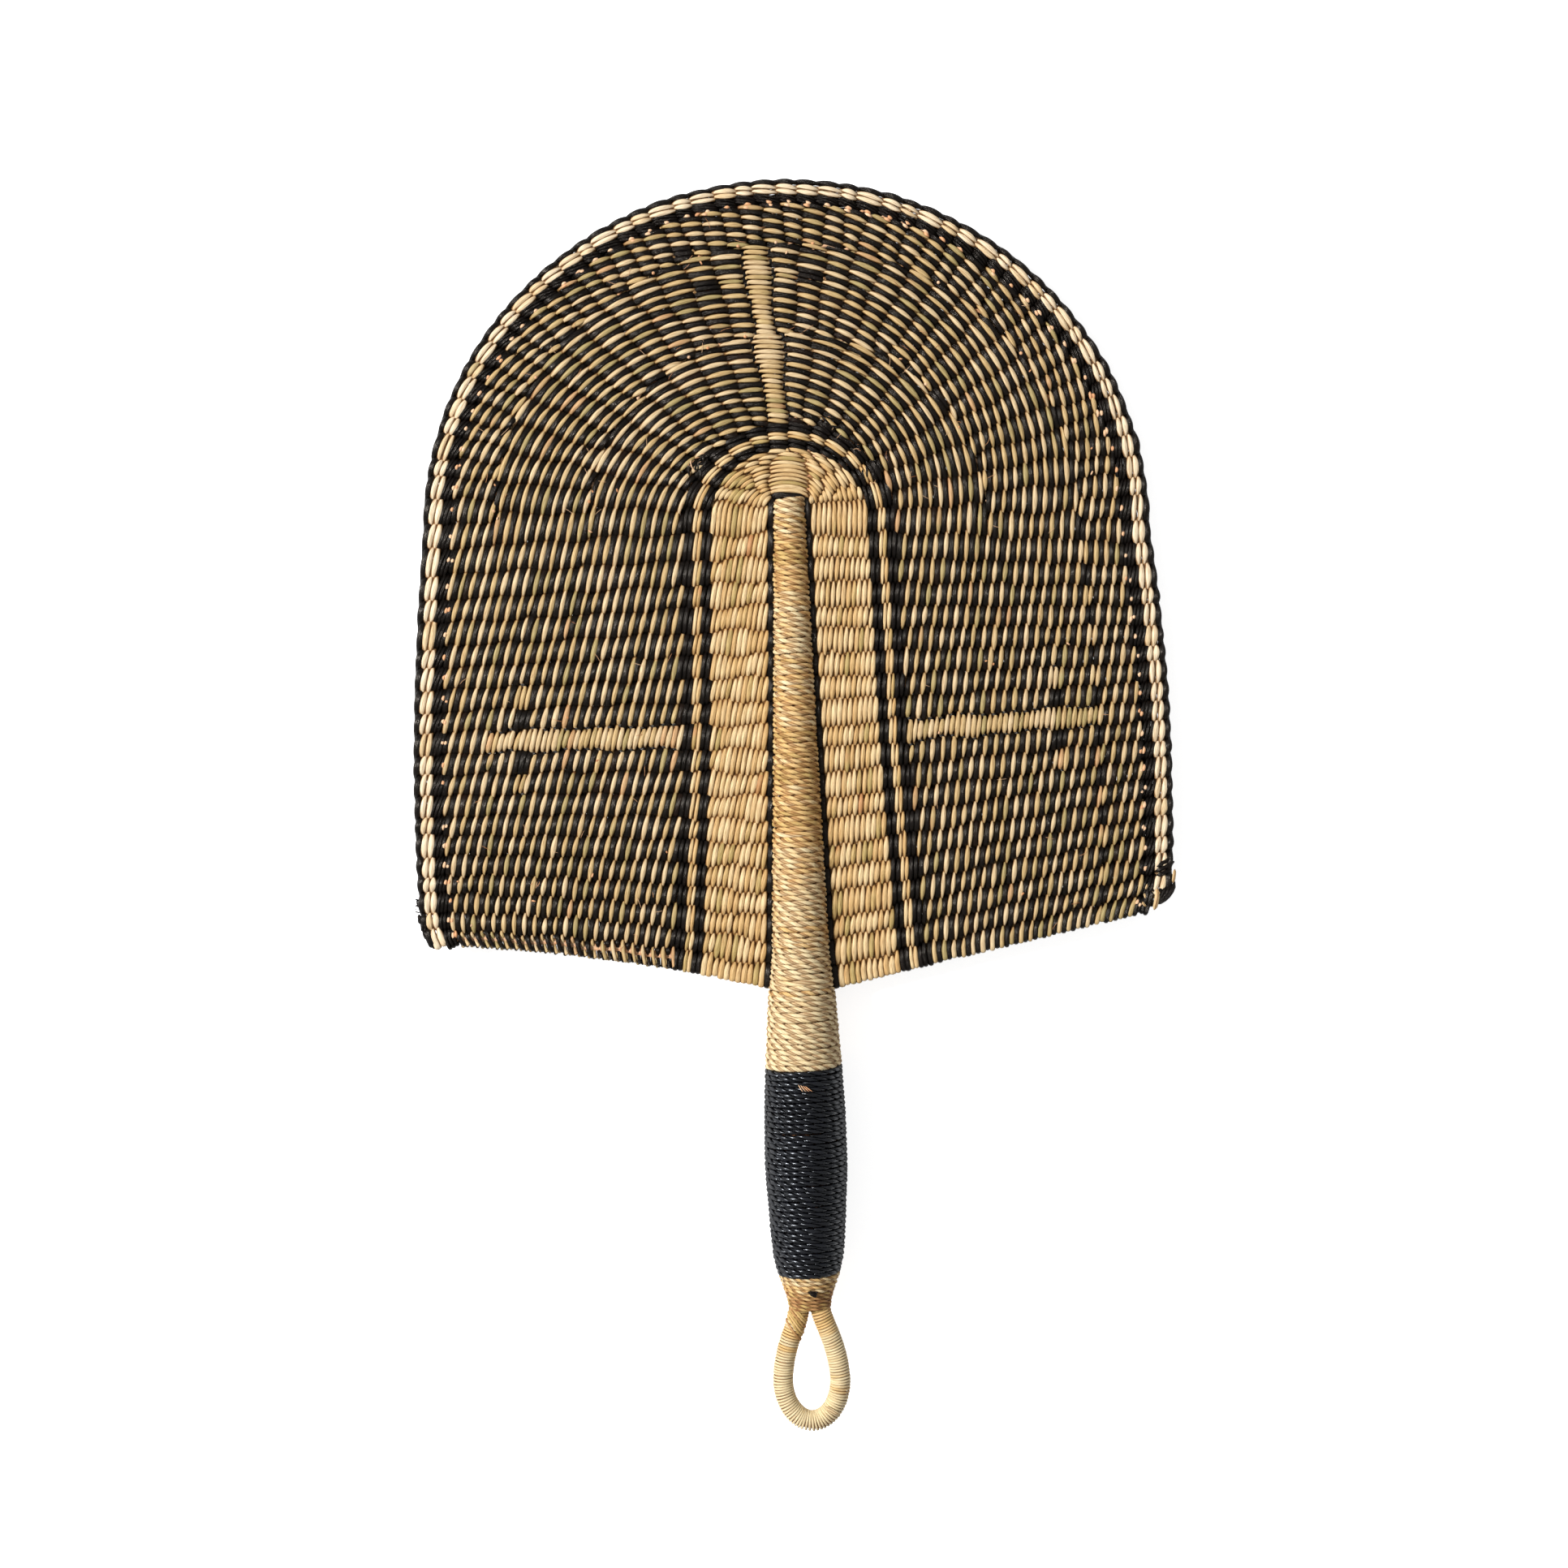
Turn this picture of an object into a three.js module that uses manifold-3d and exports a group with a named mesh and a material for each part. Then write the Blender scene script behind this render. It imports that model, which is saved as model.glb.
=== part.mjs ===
// Woven hand fan: a blade of twined straw on a cord-bound handle that ends in a hanging loop.
// Millimetres. The fan is laid out flat first: +Y runs from the handle to the top of the
// blade, +X is the blade's right and +Z its front, with Y = 0 at the blade's lower edge.
// Last, the whole fan is tipped onto its back so that it rests as it does on a table.
import * as THREE from 'three';
import { mergeVertices } from 'three/addons/utils/BufferGeometryUtils.js';
import Module from 'manifold-3d';

const wasm = await Module();
wasm.setup();

// Blade outline: straight sides that bulge a little, under a dome. A flare is how far a
// lower corner stands out beyond the side of the dome.
const cornerLeftY = 13.4;
const cornerRightY = 26;
const leftFlare = -0.4;
const rightFlare = 6.3;
const shoulderY = 150;
const domeCentreX = -4.2;
const domeHalfWidth = 118.8;
const domeRise = 114.9;
const leftBulge = 2.8;
const rightBulge = 3.2;
const leftStakeDrop = 5.6;
const leftEdgeBow = 2.6;

// Straw and weave
const stakeDiameter = 1.4;
const stakePitch = 7.85;
const stakeSides = 6;
const crossStakeCount = 20;
const firstStakeY = 3;
const mainDomeStakes = 12;
const rowLayer = 1.2;
const endTurn = 1.2;
const clearance = 0.3;

// Widths of the bands of rows along the sides. The rows spread beside the spine towards the
// lower edge, and all are drawn in over the dome by a share of their width.
const pipingWidth = 1.8;
const naturalWidth = 18;
const naturalSpread = 2.2;
const blackStripeWidth = 3.2;
const naturalStripeWidth = 2.7;
const waleWidth = 3.7;
const braidWidth = 4;
const edgeRowWidth = 1.7;
const naturalDrawIn = 0.23;
const stripeDrawIn = 0.08;
const borderDrawIn = 0.22;
const evenWidthFrom = 0.5;
const sideStations = [0, 0.08, 0.3, 0.56, 0.78];
const domeSteps = 20;

// Bands of rows, from the spine outwards; the field fills what the others leave
const innerBands = [
  { name: 'spine_piping_row', tone: 'black', width: pipingWidth, drawIn: naturalDrawIn },
  {
    name: 'natural_inner_rows', tone: 'straw',
    width: naturalWidth, drawIn: naturalDrawIn, spread: naturalSpread,
  },
  { name: 'black_stripe_inner', tone: 'black', width: blackStripeWidth, drawIn: stripeDrawIn },
  { name: 'natural_stripe', tone: 'straw', width: naturalStripeWidth, drawIn: stripeDrawIn },
  { name: 'black_stripe_outer', tone: 'black', width: blackStripeWidth, drawIn: stripeDrawIn },
];
const outerBands = [
  { name: 'border_wale', tone: 'black', width: waleWidth, drawIn: borderDrawIn },
  { name: 'border_braid', tone: 'straw', width: braidWidth, drawIn: borderDrawIn },
  { name: 'border_edge_row', tone: 'black', width: edgeRowWidth, drawIn: borderDrawIn },
];

// Handle: its axis leans to the left on the way up
const handleLean = THREE.MathUtils.degToRad(1.47);
const handleAxisX = 0.7;
const spineTopY = 157;
const coreTipY = 161;
const coreTipRadius = 1.6;
const coreEndY = -99;
const coreSides = 20;
// Outside of the binding: height along the axis and radius, from the spine to the neck
const bindingOutline = [
  [coreTipY, 5.4], [84, 7.4], [12, 9.6], [-3, 11.2], [-26, 12.6], [-40, 13.3],
  [-58, 13.5], [-78, 12.3], [-86, 11.6], [-92, 10.2], [-96, 8.7], [-100, 7.8], [-106, 7.4],
];

// Cords of the bindings: width along the handle, thickness away from it
const spineCordWidth = 5;
const spineCordThick = 2;
const spineTurnsBelowBlade = 3;
const spineStepsPerTurn = 12;
const gripCordWidth = 2.2;
const gripCordThick = 2;
const gripTopY = -28.7;
const gripBottomY = -94.2;
const gripTurns = 23;
const gripStepsPerTurn = 14;
const neckCordWidth = 1.5;
const neckCordThick = 1.7;
const neckTopY = -96.7;
const neckBottomY = -104.7;
const neckTurns = 4;
const neckStepsPerTurn = 12;
const cordSides = 5;

// Hanging loop: a teardrop of stiff cord, bound with a thinner one
const loopCordDiameter = 3.2;
const loopLegX = 3.6;
const loopLegTopY = -90;
const loopThroatY = -106.5;
const loopHalfWidth = 9.2;
const loopDepth = 12.6;
const loopCentreY = -128.4;
const loopFullness = 0.42;
const loopSteps = 28;
const loopSides = 8;
const legHoleSides = 12;
const wrapCordWidth = 1.6;
const wrapCordThick = 1.4;
const wrapTurns = 24;
const wrapStepsPerTurn = 8;

const finishes = {
  straw: { color: 0xcfa965, roughness: 0.6, metalness: 0 },
  black: { color: 0x17181d, roughness: 0.45, metalness: 0 },
  stake: { color: 0xc98e62, roughness: 0.7, metalness: 0 },
  core: { color: 0xb48b58, roughness: 0.8, metalness: 0 },
};

const bladeThickness = stakeDiameter + 2 * (clearance + rowLayer);
const slotThickness = stakeDiameter + 2 * clearance;
const lerp = THREE.MathUtils.lerp;

function makeMesh(name, geometry, tone) {
  const mesh = new THREE.Mesh(geometry, new THREE.MeshStandardMaterial(finishes[tone]));
  mesh.name = name;
  return mesh;
}

function numberedName(stem, index) {
  return `${stem}_${String(index + 1).padStart(2, '0')}`;
}

// Solids for cutting
function toSolid(source) {
  const bare = source.clone();
  bare.deleteAttribute('normal');
  bare.deleteAttribute('uv');
  const merged = mergeVertices(bare);
  return new wasm.Manifold(new wasm.Mesh({
    numProp: 3,
    vertProperties: new Float32Array(merged.attributes.position.array),
    triVerts: new Uint32Array(merged.index.array),
  }));
}

function toGeometry(solid) {
  const mesh = solid.getMesh();
  const geometry = new THREE.BufferGeometry();
  geometry.setAttribute('position', new THREE.BufferAttribute(mesh.vertProperties, 3));
  geometry.setIndex(new THREE.BufferAttribute(mesh.triVerts, 1));
  geometry.computeVertexNormals();
  return geometry;
}

// A closed tube through rings of points, all with the same number of points
function tubeThroughRings(rings) {
  const sides = rings[0].length;
  const positions = rings.flat().flatMap((point) => point.toArray());
  const triangles = [];
  for (let ring = 0; ring + 1 < rings.length; ring += 1) {
    for (let side = 0; side < sides; side += 1) {
      const a = ring * sides + side;
      const b = ring * sides + (side + 1) % sides;
      triangles.push(a, b, a + sides, b, b + sides, a + sides);
    }
  }
  const last = (rings.length - 1) * sides;
  for (let side = 1; side + 1 < sides; side += 1) {
    triangles.push(0, side + 1, side, last, last + side, last + side + 1);
  }
  const geometry = new THREE.BufferGeometry();
  geometry.setAttribute('position', new THREE.Float32BufferAttribute(positions, 3));
  geometry.setIndex(triangles);
  geometry.computeVertexNormals();
  return geometry;
}

// One ring of an oval section. "out" points away from what the tube lies on, and with an odd
// number of sides a flat faces inwards; "along" lies across the tube.
function ovalRing(centre, out, along, thick, width, sides) {
  const ring = [];
  for (let corner = 0; corner < sides; corner += 1) {
    const angle = (2 * Math.PI * corner) / sides;
    ring.push(centre.clone()
      .addScaledVector(out, (thick / 2) * Math.cos(angle))
      .addScaledVector(along, (width / 2) * Math.sin(angle)));
  }
  return ring;
}

// The handle's outline: radius of the binding's outside at a height along the axis
function bindingRadius(y) {
  let upper = bindingOutline[0];
  for (const lower of bindingOutline) {
    if (y >= lower[0]) {
      const share = upper === lower ? 0 : (y - lower[0]) / (upper[0] - lower[0]);
      return lerp(lower[1], upper[1], share);
    }
    upper = lower;
  }
  return upper[1];
}

function bindingSlope(y) {
  const step = 0.5;
  return (bindingRadius(y + step) - bindingRadius(y - step)) / (2 * step);
}

function handleX(y) {
  return handleAxisX - Math.tan(handleLean) * y;
}

// Stations along a row: 0 to 1 up the left side, 1 to 2 over the dome, 2 to 3 down the right
function stationList() {
  const left = [...sideStations];
  const dome = Array.from({ length: domeSteps + 1 }, (_, step) => 1 + step / domeSteps);
  const right = sideStations.map((share) => 3 - share).reverse();
  return [...left, ...dome, ...right];
}

function innerPoint(station) {
  const room = clearance;
  if (station >= 1 && station <= 2) {
    const angle = Math.PI * (2 - station);
    const radius = bindingRadius(spineTopY) + room;
    return new THREE.Vector2(
      handleX(spineTopY) + radius * Math.cos(angle),
      spineTopY + radius * Math.sin(angle),
    );
  }
  const share = station < 1 ? station : 3 - station;
  const side = station < 1 ? -1 : 1;
  const y = spineTopY * share;
  return new THREE.Vector2(handleX(y) + side * (bindingRadius(y) + room), y);
}

function outerPoint(station) {
  if (station >= 1 && station <= 2) {
    const angle = Math.PI * (2 - station);
    return new THREE.Vector2(
      domeCentreX + domeHalfWidth * Math.cos(angle),
      shoulderY + domeRise * Math.sin(angle),
    );
  }
  const share = station < 1 ? station : 3 - station;
  const bow = 4 * share * (1 - share);
  if (station < 1) {
    return new THREE.Vector2(
      domeCentreX - domeHalfWidth - leftFlare * (1 - share) - leftBulge * bow,
      lerp(cornerLeftY, shoulderY, share) - leftStakeDrop * bow,
    );
  }
  return new THREE.Vector2(
    domeCentreX + domeHalfWidth + rightFlare * (1 - share) + rightBulge * bow,
    lerp(cornerRightY, shoulderY, share),
  );
}

function bandReach(station) {
  return innerPoint(station).distanceTo(outerPoint(station));
}

// A point at a distance outwards from the spine, on the straw line of a station
function bladePoint(station, distance) {
  const share = distance / bandReach(station);
  const point = innerPoint(station).lerp(outerPoint(station), share);
  if (station < 1) {
    point.y += leftEdgeBow * 4 * share * (1 - share) * (1 - station) ** 2;
  }
  return point;
}

function widthAt(band, station) {
  if (station >= 1 && station <= 2) {
    return band.width * (1 - band.drawIn * Math.sin(Math.PI * (2 - station)));
  }
  const share = station < 1 ? station : 3 - station;
  return band.width + (band.spread ?? 0) * Math.max(0, 1 - share / evenWidthFrom);
}

function sumWidths(bands, station) {
  return bands.reduce((total, band) => total + widthAt(band, station), 0);
}

// Distance from the spine to the inner edge of a band, counted from the spine
function bandEdge(index, station) {
  if (index <= innerBands.length) {
    return sumWidths(innerBands.slice(0, index), station);
  }
  return bandReach(station) - sumWidths(outerBands.slice(index - innerBands.length - 1), station);
}

const fieldIndex = innerBands.length;
const allBands = [...innerBands, { name: 'field_rows', tone: 'black' }, ...outerBands];

// The outline of a band; "spread" widens it and "lift" raises both of its lower ends
function bandShape(index, spread, lift) {
  const stations = stationList();
  const inside = [];
  const outside = [];
  for (const station of stations) {
    const isEnd = station === 0 || station === 3;
    const up = new THREE.Vector2(0, isEnd ? lift : 0);
    const near = bandEdge(index, station) + clearance / 2 - spread;
    const far = bandEdge(index + 1, station) - clearance / 2 + spread;
    inside.push(bladePoint(station, near).add(up));
    outside.push(bladePoint(station, far).add(up));
  }
  return new THREE.Shape([...outside, ...inside.reverse()]);
}

function plateFrom(shape, thickness) {
  const plate = new THREE.ExtrudeGeometry(shape, { depth: thickness, bevelEnabled: false });
  return plate.translate(0, 0, -thickness / 2);
}

// A band of rows passes in front of the stakes and behind them, and turns round the lowest
// stake at both ends, so it is a plate with a slot that stays shut only at those turns.
function buildBand(index) {
  const plate = plateFrom(bandShape(index, 0, 0), bladeThickness);
  if (index === allBands.length - 1) {
    return plate;
  }
  const slot = plateFrom(bandShape(index, rowLayer, endTurn), slotThickness);
  return toGeometry(toSolid(plate).subtract(toSolid(slot)));
}

// A straw stake in the blade's mid-plane, through a list of flat points
function buildStake(points, diameter) {
  const up = new THREE.Vector3(0, 0, 1);
  const rings = points.map((point, place) => {
    const before = points[Math.max(place - 1, 0)];
    const after = points[Math.min(place + 1, points.length - 1)];
    const across = new THREE.Vector3(before.y - after.y, after.x - before.x, 0).normalize();
    const centre = new THREE.Vector3(point.x, point.y, 0);
    return ovalRing(centre, across, up, diameter, diameter, stakeSides);
  });
  return tubeThroughRings(rings);
}

function stakeEnd(station) {
  return bandEdge(allBands.length - 1, station) - 2 * clearance;
}

function crossStakeY(index) {
  return firstStakeY + stakePitch * index;
}

// A cross stake runs from one side of the blade to the other, through the handle's core
function crossStakePoints(index) {
  const y = crossStakeY(index);
  const share = y / spineTopY;
  const left = [1, 0.67, 0.33].map((part) => bladePoint(share, part * stakeEnd(share)));
  const spineReach = bindingRadius(y) + clearance;
  const middle = [-1, 1].map((side) => new THREE.Vector2(handleX(y) + side * spineReach, y));
  return [...left, ...middle, bladePoint(3 - share, stakeEnd(3 - share))];
}

function domeStation(place) {
  return 1 + place / (mainDomeStakes + 1);
}

function domeStakePoints(station, start) {
  return [bladePoint(station, start), bladePoint(station, stakeEnd(station))];
}

// The handle's core: a stiff straw bundle, thinner than the binding by the cord
function coreRadius(y) {
  const cord = y > gripTopY ? spineCordThick : gripCordThick;
  return bindingRadius(y) - cord - clearance;
}

function coreProfile() {
  const heights = bindingOutline.map((row) => row[0]).filter((y) => y < spineTopY && y > coreEndY);
  const side = [spineTopY, ...heights, coreEndY].map((y) => new THREE.Vector2(coreRadius(y), y));
  const tip = [new THREE.Vector2(0, coreTipY), new THREE.Vector2(coreTipRadius, coreTipY)];
  return [...tip, ...side, new THREE.Vector2(0, coreEndY)].reverse();
}

function buildCore(toHandle) {
  let solid = toSolid(new THREE.LatheGeometry(coreProfile(), coreSides));
  for (let index = 0; index < crossStakeCount; index += 1) {
    const y = crossStakeY(index);
    const reach = bindingRadius(y) + 1;
    const ends = [-1, 1].map((side) => new THREE.Vector2(handleX(y) + side * reach, y));
    const drill = buildStake(ends, stakeDiameter + 2 * clearance).applyMatrix4(toHandle);
    solid = solid.subtract(toSolid(drill));
  }
  for (const side of [-1, 1]) {
    const legHole = new THREE.CylinderGeometry(
      loopCordDiameter / 2 + clearance, loopCordDiameter / 2 + clearance,
      2 * (loopLegTopY + clearance - coreEndY), legHoleSides,
    );
    legHole.translate(side * loopLegX, coreEndY, 0);
    solid = solid.subtract(toSolid(legHole));
  }
  return toGeometry(solid);
}

// The least distance between points of a winding that lie at least half a turn apart
function leastGap(rings, stepsPerTurn) {
  let least = Infinity;
  const apart = Math.ceil(stepsPerTurn / 2);
  for (let first = 0; first < rings.length; first += 1) {
    const reach = Math.min(rings.length, first + 2 * stepsPerTurn);
    for (let second = first + apart; second < reach; second += 1) {
      for (const a of rings[first]) {
        for (const b of rings[second]) {
          least = Math.min(least, a.distanceTo(b));
        }
      }
    }
  }
  return least;
}

function finishWinding(name, rings, steps, straight) {
  const endRing = (ring, inward) => {
    const ahead = new THREE.Vector3().subVectors(ring[0], inward[0]).setLength(straight);
    return ring.map((point) => point.clone().add(ahead));
  };
  const first = endRing(rings[0], rings[1]);
  const last = endRing(rings[rings.length - 1], rings[rings.length - 2]);
  const whole = [first, ...rings, last];
  console.log(`${name}: least gap to itself ${leastGap(whole, steps).toFixed(2)} mm`);
  return tubeThroughRings(whole);
}

// A cord wound round the handle. "heightAt" gives the height after a number of turns.
function windHandle(name, turns, steps, width, thick, heightAt) {
  const rings = [];
  const inset = (thick / 2) * Math.cos(Math.PI / cordSides);
  for (let step = 0; step <= turns * steps; step += 1) {
    const turn = step / steps;
    const angle = 2 * Math.PI * turn;
    const y = heightAt(turn);
    const slope = bindingSlope(y);
    const round = new THREE.Vector3(Math.cos(angle), 0, Math.sin(angle));
    const out = round.clone().add(new THREE.Vector3(0, -slope, 0)).normalize();
    const along = new THREE.Vector3(0, 1, 0).addScaledVector(round, slope).normalize();
    const lying = (bindingRadius(y) - thick) / Math.cos(Math.PI / steps);
    const centre = round.multiplyScalar(lying).setY(y).addScaledVector(out, inset);
    rings.push(ovalRing(centre, out, along, thick, width, cordSides));
  }
  return finishWinding(name, rings, steps, thick);
}

// On the spine the cord runs level across the front and climbs to the next gap between
// stakes across the back, so that it passes each side midway between two stakes.
function spineCordHeight(turn) {
  const lowest = firstStakeY - stakePitch * (spineTurnsBelowBlade + 0.5);
  const whole = Math.floor(turn);
  const climb = Math.max(0, 2 * (turn - whole) - 1);
  return lowest + stakePitch * (whole + climb);
}

function buildSpineBinding() {
  const turns = crossStakeCount + spineTurnsBelowBlade + 0.5;
  const steps = spineStepsPerTurn;
  return windHandle('spine_binding', turns, steps, spineCordWidth, spineCordThick, spineCordHeight);
}

function buildGripBinding() {
  const heightAt = (turn) => lerp(gripTopY, gripBottomY, turn / gripTurns);
  const steps = gripStepsPerTurn;
  return windHandle('grip_binding', gripTurns, steps, gripCordWidth, gripCordThick, heightAt);
}

function buildNeckBinding() {
  const heightAt = (turn) => lerp(neckTopY, neckBottomY, turn / neckTurns);
  const steps = neckStepsPerTurn;
  return windHandle('neck_binding', neckTurns, steps, neckCordWidth, neckCordThick, heightAt);
}

// The loop's centre line, from the throat round and back to the throat
function loopPath() {
  const pull = (loopThroatY - loopCentreY) * loopFullness;
  const legSide = (side) => [
    new THREE.Vector2(side * loopLegX, loopThroatY),
    new THREE.Vector2(side * loopLegX, loopThroatY - pull),
    new THREE.Vector2(side * loopHalfWidth, loopCentreY + pull),
    new THREE.Vector2(side * loopHalfWidth, loopCentreY),
  ];
  const path = new THREE.CurvePath();
  path.add(new THREE.CubicBezierCurve(...legSide(-1)));
  const low = [0, loopCentreY, loopHalfWidth, loopDepth, Math.PI, 2 * Math.PI];
  path.add(new THREE.EllipseCurve(...low));
  path.add(new THREE.CubicBezierCurve(...legSide(1).reverse()));
  return path;
}

function loopFrame(path, share) {
  const point = path.getPointAt(share);
  const tangent = path.getTangentAt(share);
  return {
    centre: new THREE.Vector3(point.x, point.y, 0),
    along: new THREE.Vector3(tangent.x, tangent.y, 0),
    inward: new THREE.Vector3(-tangent.y, tangent.x, 0),
  };
}

function buildLoopCord() {
  const path = loopPath();
  const up = new THREE.Vector3(0, 0, 1);
  const section = [up, loopCordDiameter, loopCordDiameter, loopSides];
  const legTop = (side) => {
    const centre = new THREE.Vector3(side * loopLegX, loopLegTopY, 0);
    return ovalRing(centre, new THREE.Vector3(-side, 0, 0), ...section);
  };
  const rings = [];
  for (let step = 0; step <= loopSteps; step += 1) {
    const { centre, inward } = loopFrame(path, step / loopSteps);
    rings.push(ovalRing(centre, inward, ...section));
  }
  return tubeThroughRings([legTop(-1), ...rings, legTop(1)]);
}

function buildLoopWrap() {
  const path = loopPath();
  const steps = wrapStepsPerTurn;
  const inset = (wrapCordThick / 2) * Math.cos(Math.PI / cordSides);
  const lying = (loopCordDiameter / 2 + clearance) / Math.cos(Math.PI / steps) + inset;
  const rings = [];
  for (let step = 0; step <= wrapTurns * steps; step += 1) {
    const { centre, along, inward } = loopFrame(path, step / (wrapTurns * steps));
    const angle = (2 * Math.PI * step) / steps;
    const out = inward.multiplyScalar(-Math.cos(angle)).setZ(Math.sin(angle));
    centre.addScaledVector(out, lying);
    rings.push(ovalRing(centre, out, along, wrapCordThick, wrapCordWidth, cordSides));
  }
  return finishWinding('loop_wrap', rings, steps, wrapCordThick);
}

function buildBlade() {
  const blade = new THREE.Group();
  allBands.forEach((band, index) => blade.add(makeMesh(band.name, buildBand(index), band.tone)));
  for (let index = 0; index < crossStakeCount; index += 1) {
    const stake = buildStake(crossStakePoints(index), stakeDiameter);
    blade.add(makeMesh(numberedName('cross_stake', index), stake, 'stake'));
  }
  for (let index = 0; index < mainDomeStakes; index += 1) {
    const station = domeStation(index + 1);
    const start = bandEdge(1, station) + stakeDiameter;
    const stake = buildStake(domeStakePoints(station, start), stakeDiameter);
    blade.add(makeMesh(numberedName('dome_stake', index), stake, 'stake'));
  }
  for (let index = 0; index + 1 < mainDomeStakes; index += 1) {
    const station = domeStation(index + 1.5);
    const start = bandEdge(fieldIndex, station) + clearance;
    const stake = buildStake(domeStakePoints(station, start), stakeDiameter);
    blade.add(makeMesh(numberedName('added_stake', index), stake, 'stake'));
  }
  return blade;
}

function buildHandle() {
  const handle = new THREE.Group();
  handle.position.x = handleAxisX;
  handle.rotation.z = handleLean;
  handle.updateMatrix();
  const toHandle = handle.matrix.clone().invert();
  handle.add(makeMesh('handle_core', buildCore(toHandle), 'core'));
  handle.add(makeMesh('spine_binding', buildSpineBinding(), 'straw'));
  handle.add(makeMesh('grip_binding', buildGripBinding(), 'black'));
  handle.add(makeMesh('neck_binding', buildNeckBinding(), 'straw'));
  handle.add(makeMesh('loop_cord', buildLoopCord(), 'core'));
  handle.add(makeMesh('loop_wrap', buildLoopWrap(), 'straw'));
  return handle;
}

// At rest the fan lies on the belly of its grip and on the top edge of its blade
function layOnBack(parts) {
  const [bellyY, bellyRadius] = bindingOutline.reduce((a, b) => (b[1] > a[1] ? b : a));
  const bladeTop = shoulderY + domeRise;
  const rise = bellyRadius - bladeThickness / 2;
  const tipped = new THREE.Group();
  tipped.rotation.x = -Math.atan2(rise, bladeTop - bellyY);
  tipped.add(...parts);
  const fan = new THREE.Group();
  fan.add(tipped);
  fan.updateMatrixWorld(true);
  const box = new THREE.Box3().setFromObject(fan, true);
  const middle = box.getCenter(new THREE.Vector3());
  tipped.position.set(-middle.x, -middle.y, -box.min.z);
  return fan;
}

export default layOnBack([buildBlade(), buildHandle()]);
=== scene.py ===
import math
import bpy
import numpy as np
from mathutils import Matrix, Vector


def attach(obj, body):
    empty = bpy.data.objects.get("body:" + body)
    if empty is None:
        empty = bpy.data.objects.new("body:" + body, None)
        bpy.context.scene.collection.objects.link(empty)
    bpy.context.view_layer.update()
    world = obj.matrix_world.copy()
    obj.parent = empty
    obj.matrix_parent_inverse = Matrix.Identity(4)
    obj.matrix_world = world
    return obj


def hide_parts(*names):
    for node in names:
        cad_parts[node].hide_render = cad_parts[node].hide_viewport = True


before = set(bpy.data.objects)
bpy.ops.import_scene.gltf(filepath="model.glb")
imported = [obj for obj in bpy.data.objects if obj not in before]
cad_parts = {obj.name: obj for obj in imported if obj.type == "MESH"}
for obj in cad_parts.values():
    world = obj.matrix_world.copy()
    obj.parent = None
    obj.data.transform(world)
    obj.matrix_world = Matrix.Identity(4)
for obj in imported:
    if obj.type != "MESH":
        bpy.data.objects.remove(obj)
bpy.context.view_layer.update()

# Woven hand fan. Shapes are worked out in millimetres on the flat fan, where Y runs up the
# handle and Z out of the front, and are tipped onto the fan's back and made metres last.
tipAngle = -math.atan2(11.3, 322.9)
restPlace = np.array([1.94, -60.24, 11.717])
upwards = np.array([0, 0, 1.0])
dice = np.random.default_rng(11)

# The turns of the handle's binding sag a little in the picture, so the camera stands over the
# upper half of the blade and looks straight down, with the frame shifted towards the handle.
photoView = {"spread": 0.51275, "centre": (-0.0031, 0.0058), "blade": 0.009, "away": 0.8,
             "over": 0.0573, "sensor": 36}


def addObject(name, data):
    thing = bpy.data.objects.new(name, data)
    bpy.context.scene.collection.objects.link(thing)
    return thing


def addCamera():
    lens = bpy.data.cameras.new("photoCamera")
    lens.sensor_width = photoView["sensor"]
    lens.lens = photoView["sensor"] * photoView["away"] / photoView["spread"]
    lens.shift_y = -photoView["over"] / photoView["spread"]
    camera = addObject("photoCamera", lens)
    x, y = photoView["centre"]
    camera.location = (x, y + photoView["over"], photoView["blade"] + photoView["away"])
    bpy.context.scene.camera = camera


addCamera()
print("camera set straight above the fan")

# Shape of the blade and the handle, as in the solids

handle = {
    "lean": math.radians(1.47), "axisX": 0.7, "spineTop": 157.0,
    "heights": [-103, -99.5, -96, -92, -86, -78, -58, -40, -26, -3, 12, 84, 157, 159.2, 160],
    "radii": [6.9, 7.5, 8.7, 10.2, 11.6, 12.3, 13.5, 13.3, 12.6, 11.2, 9.6, 7.4, 5.5, 5.3, 2.6],
}
blade = {
    "shoulder": 150.0, "domeX": -4.2, "domeHalf": 118.8, "domeRise": 114.9, "leftBow": 2.6,
    "room": 0.3, "archDrop": 2.2, "archFlat": 2.4, "archFade": 3.2, "pushFade": 6, "turnTo": 0.1,
    "spreadTo": 0.5,
}
# each pair holds the left side's value and the right side's
bladeSides = {"low": (13.4, 26.0), "flare": (-0.4, 6.3), "bulge": (2.8, 3.2),
              "turn": (2.4, 2.0), "drop": (5.6, 0.0)}
stakes = {"pitch": 7.85, "lowest": 3.0, "across": 20, "dome": 12, "added": 11, "darkEnds": 16}
domeParts = stakes["dome"] + 1
# widths of the bands along the sides, the share by which each is drawn in over the dome, and
# how much each spreads at the lower edge
innerBands = {
    "piping": (1.2, 0.23, 0.0), "inner": (18.6, 0.23, 2.2), "blackInner": (3.2, 0.08, 0.0),
    "stripe": (2.7, 0.08, 0.0), "blackOuter": (3.2, 0.08, 0.0),
}
outerBands = {"wale": (3.7, 0.22, 0.0), "braid": (4.0, 0.22, 0.0), "edge": (1.7, 0.22, 0.0)}


def handleX(y):
    return handle["axisX"] - math.tan(handle["lean"]) * y


def bindingRadius(y):
    return np.interp(y, handle["heights"], handle["radii"])


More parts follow.
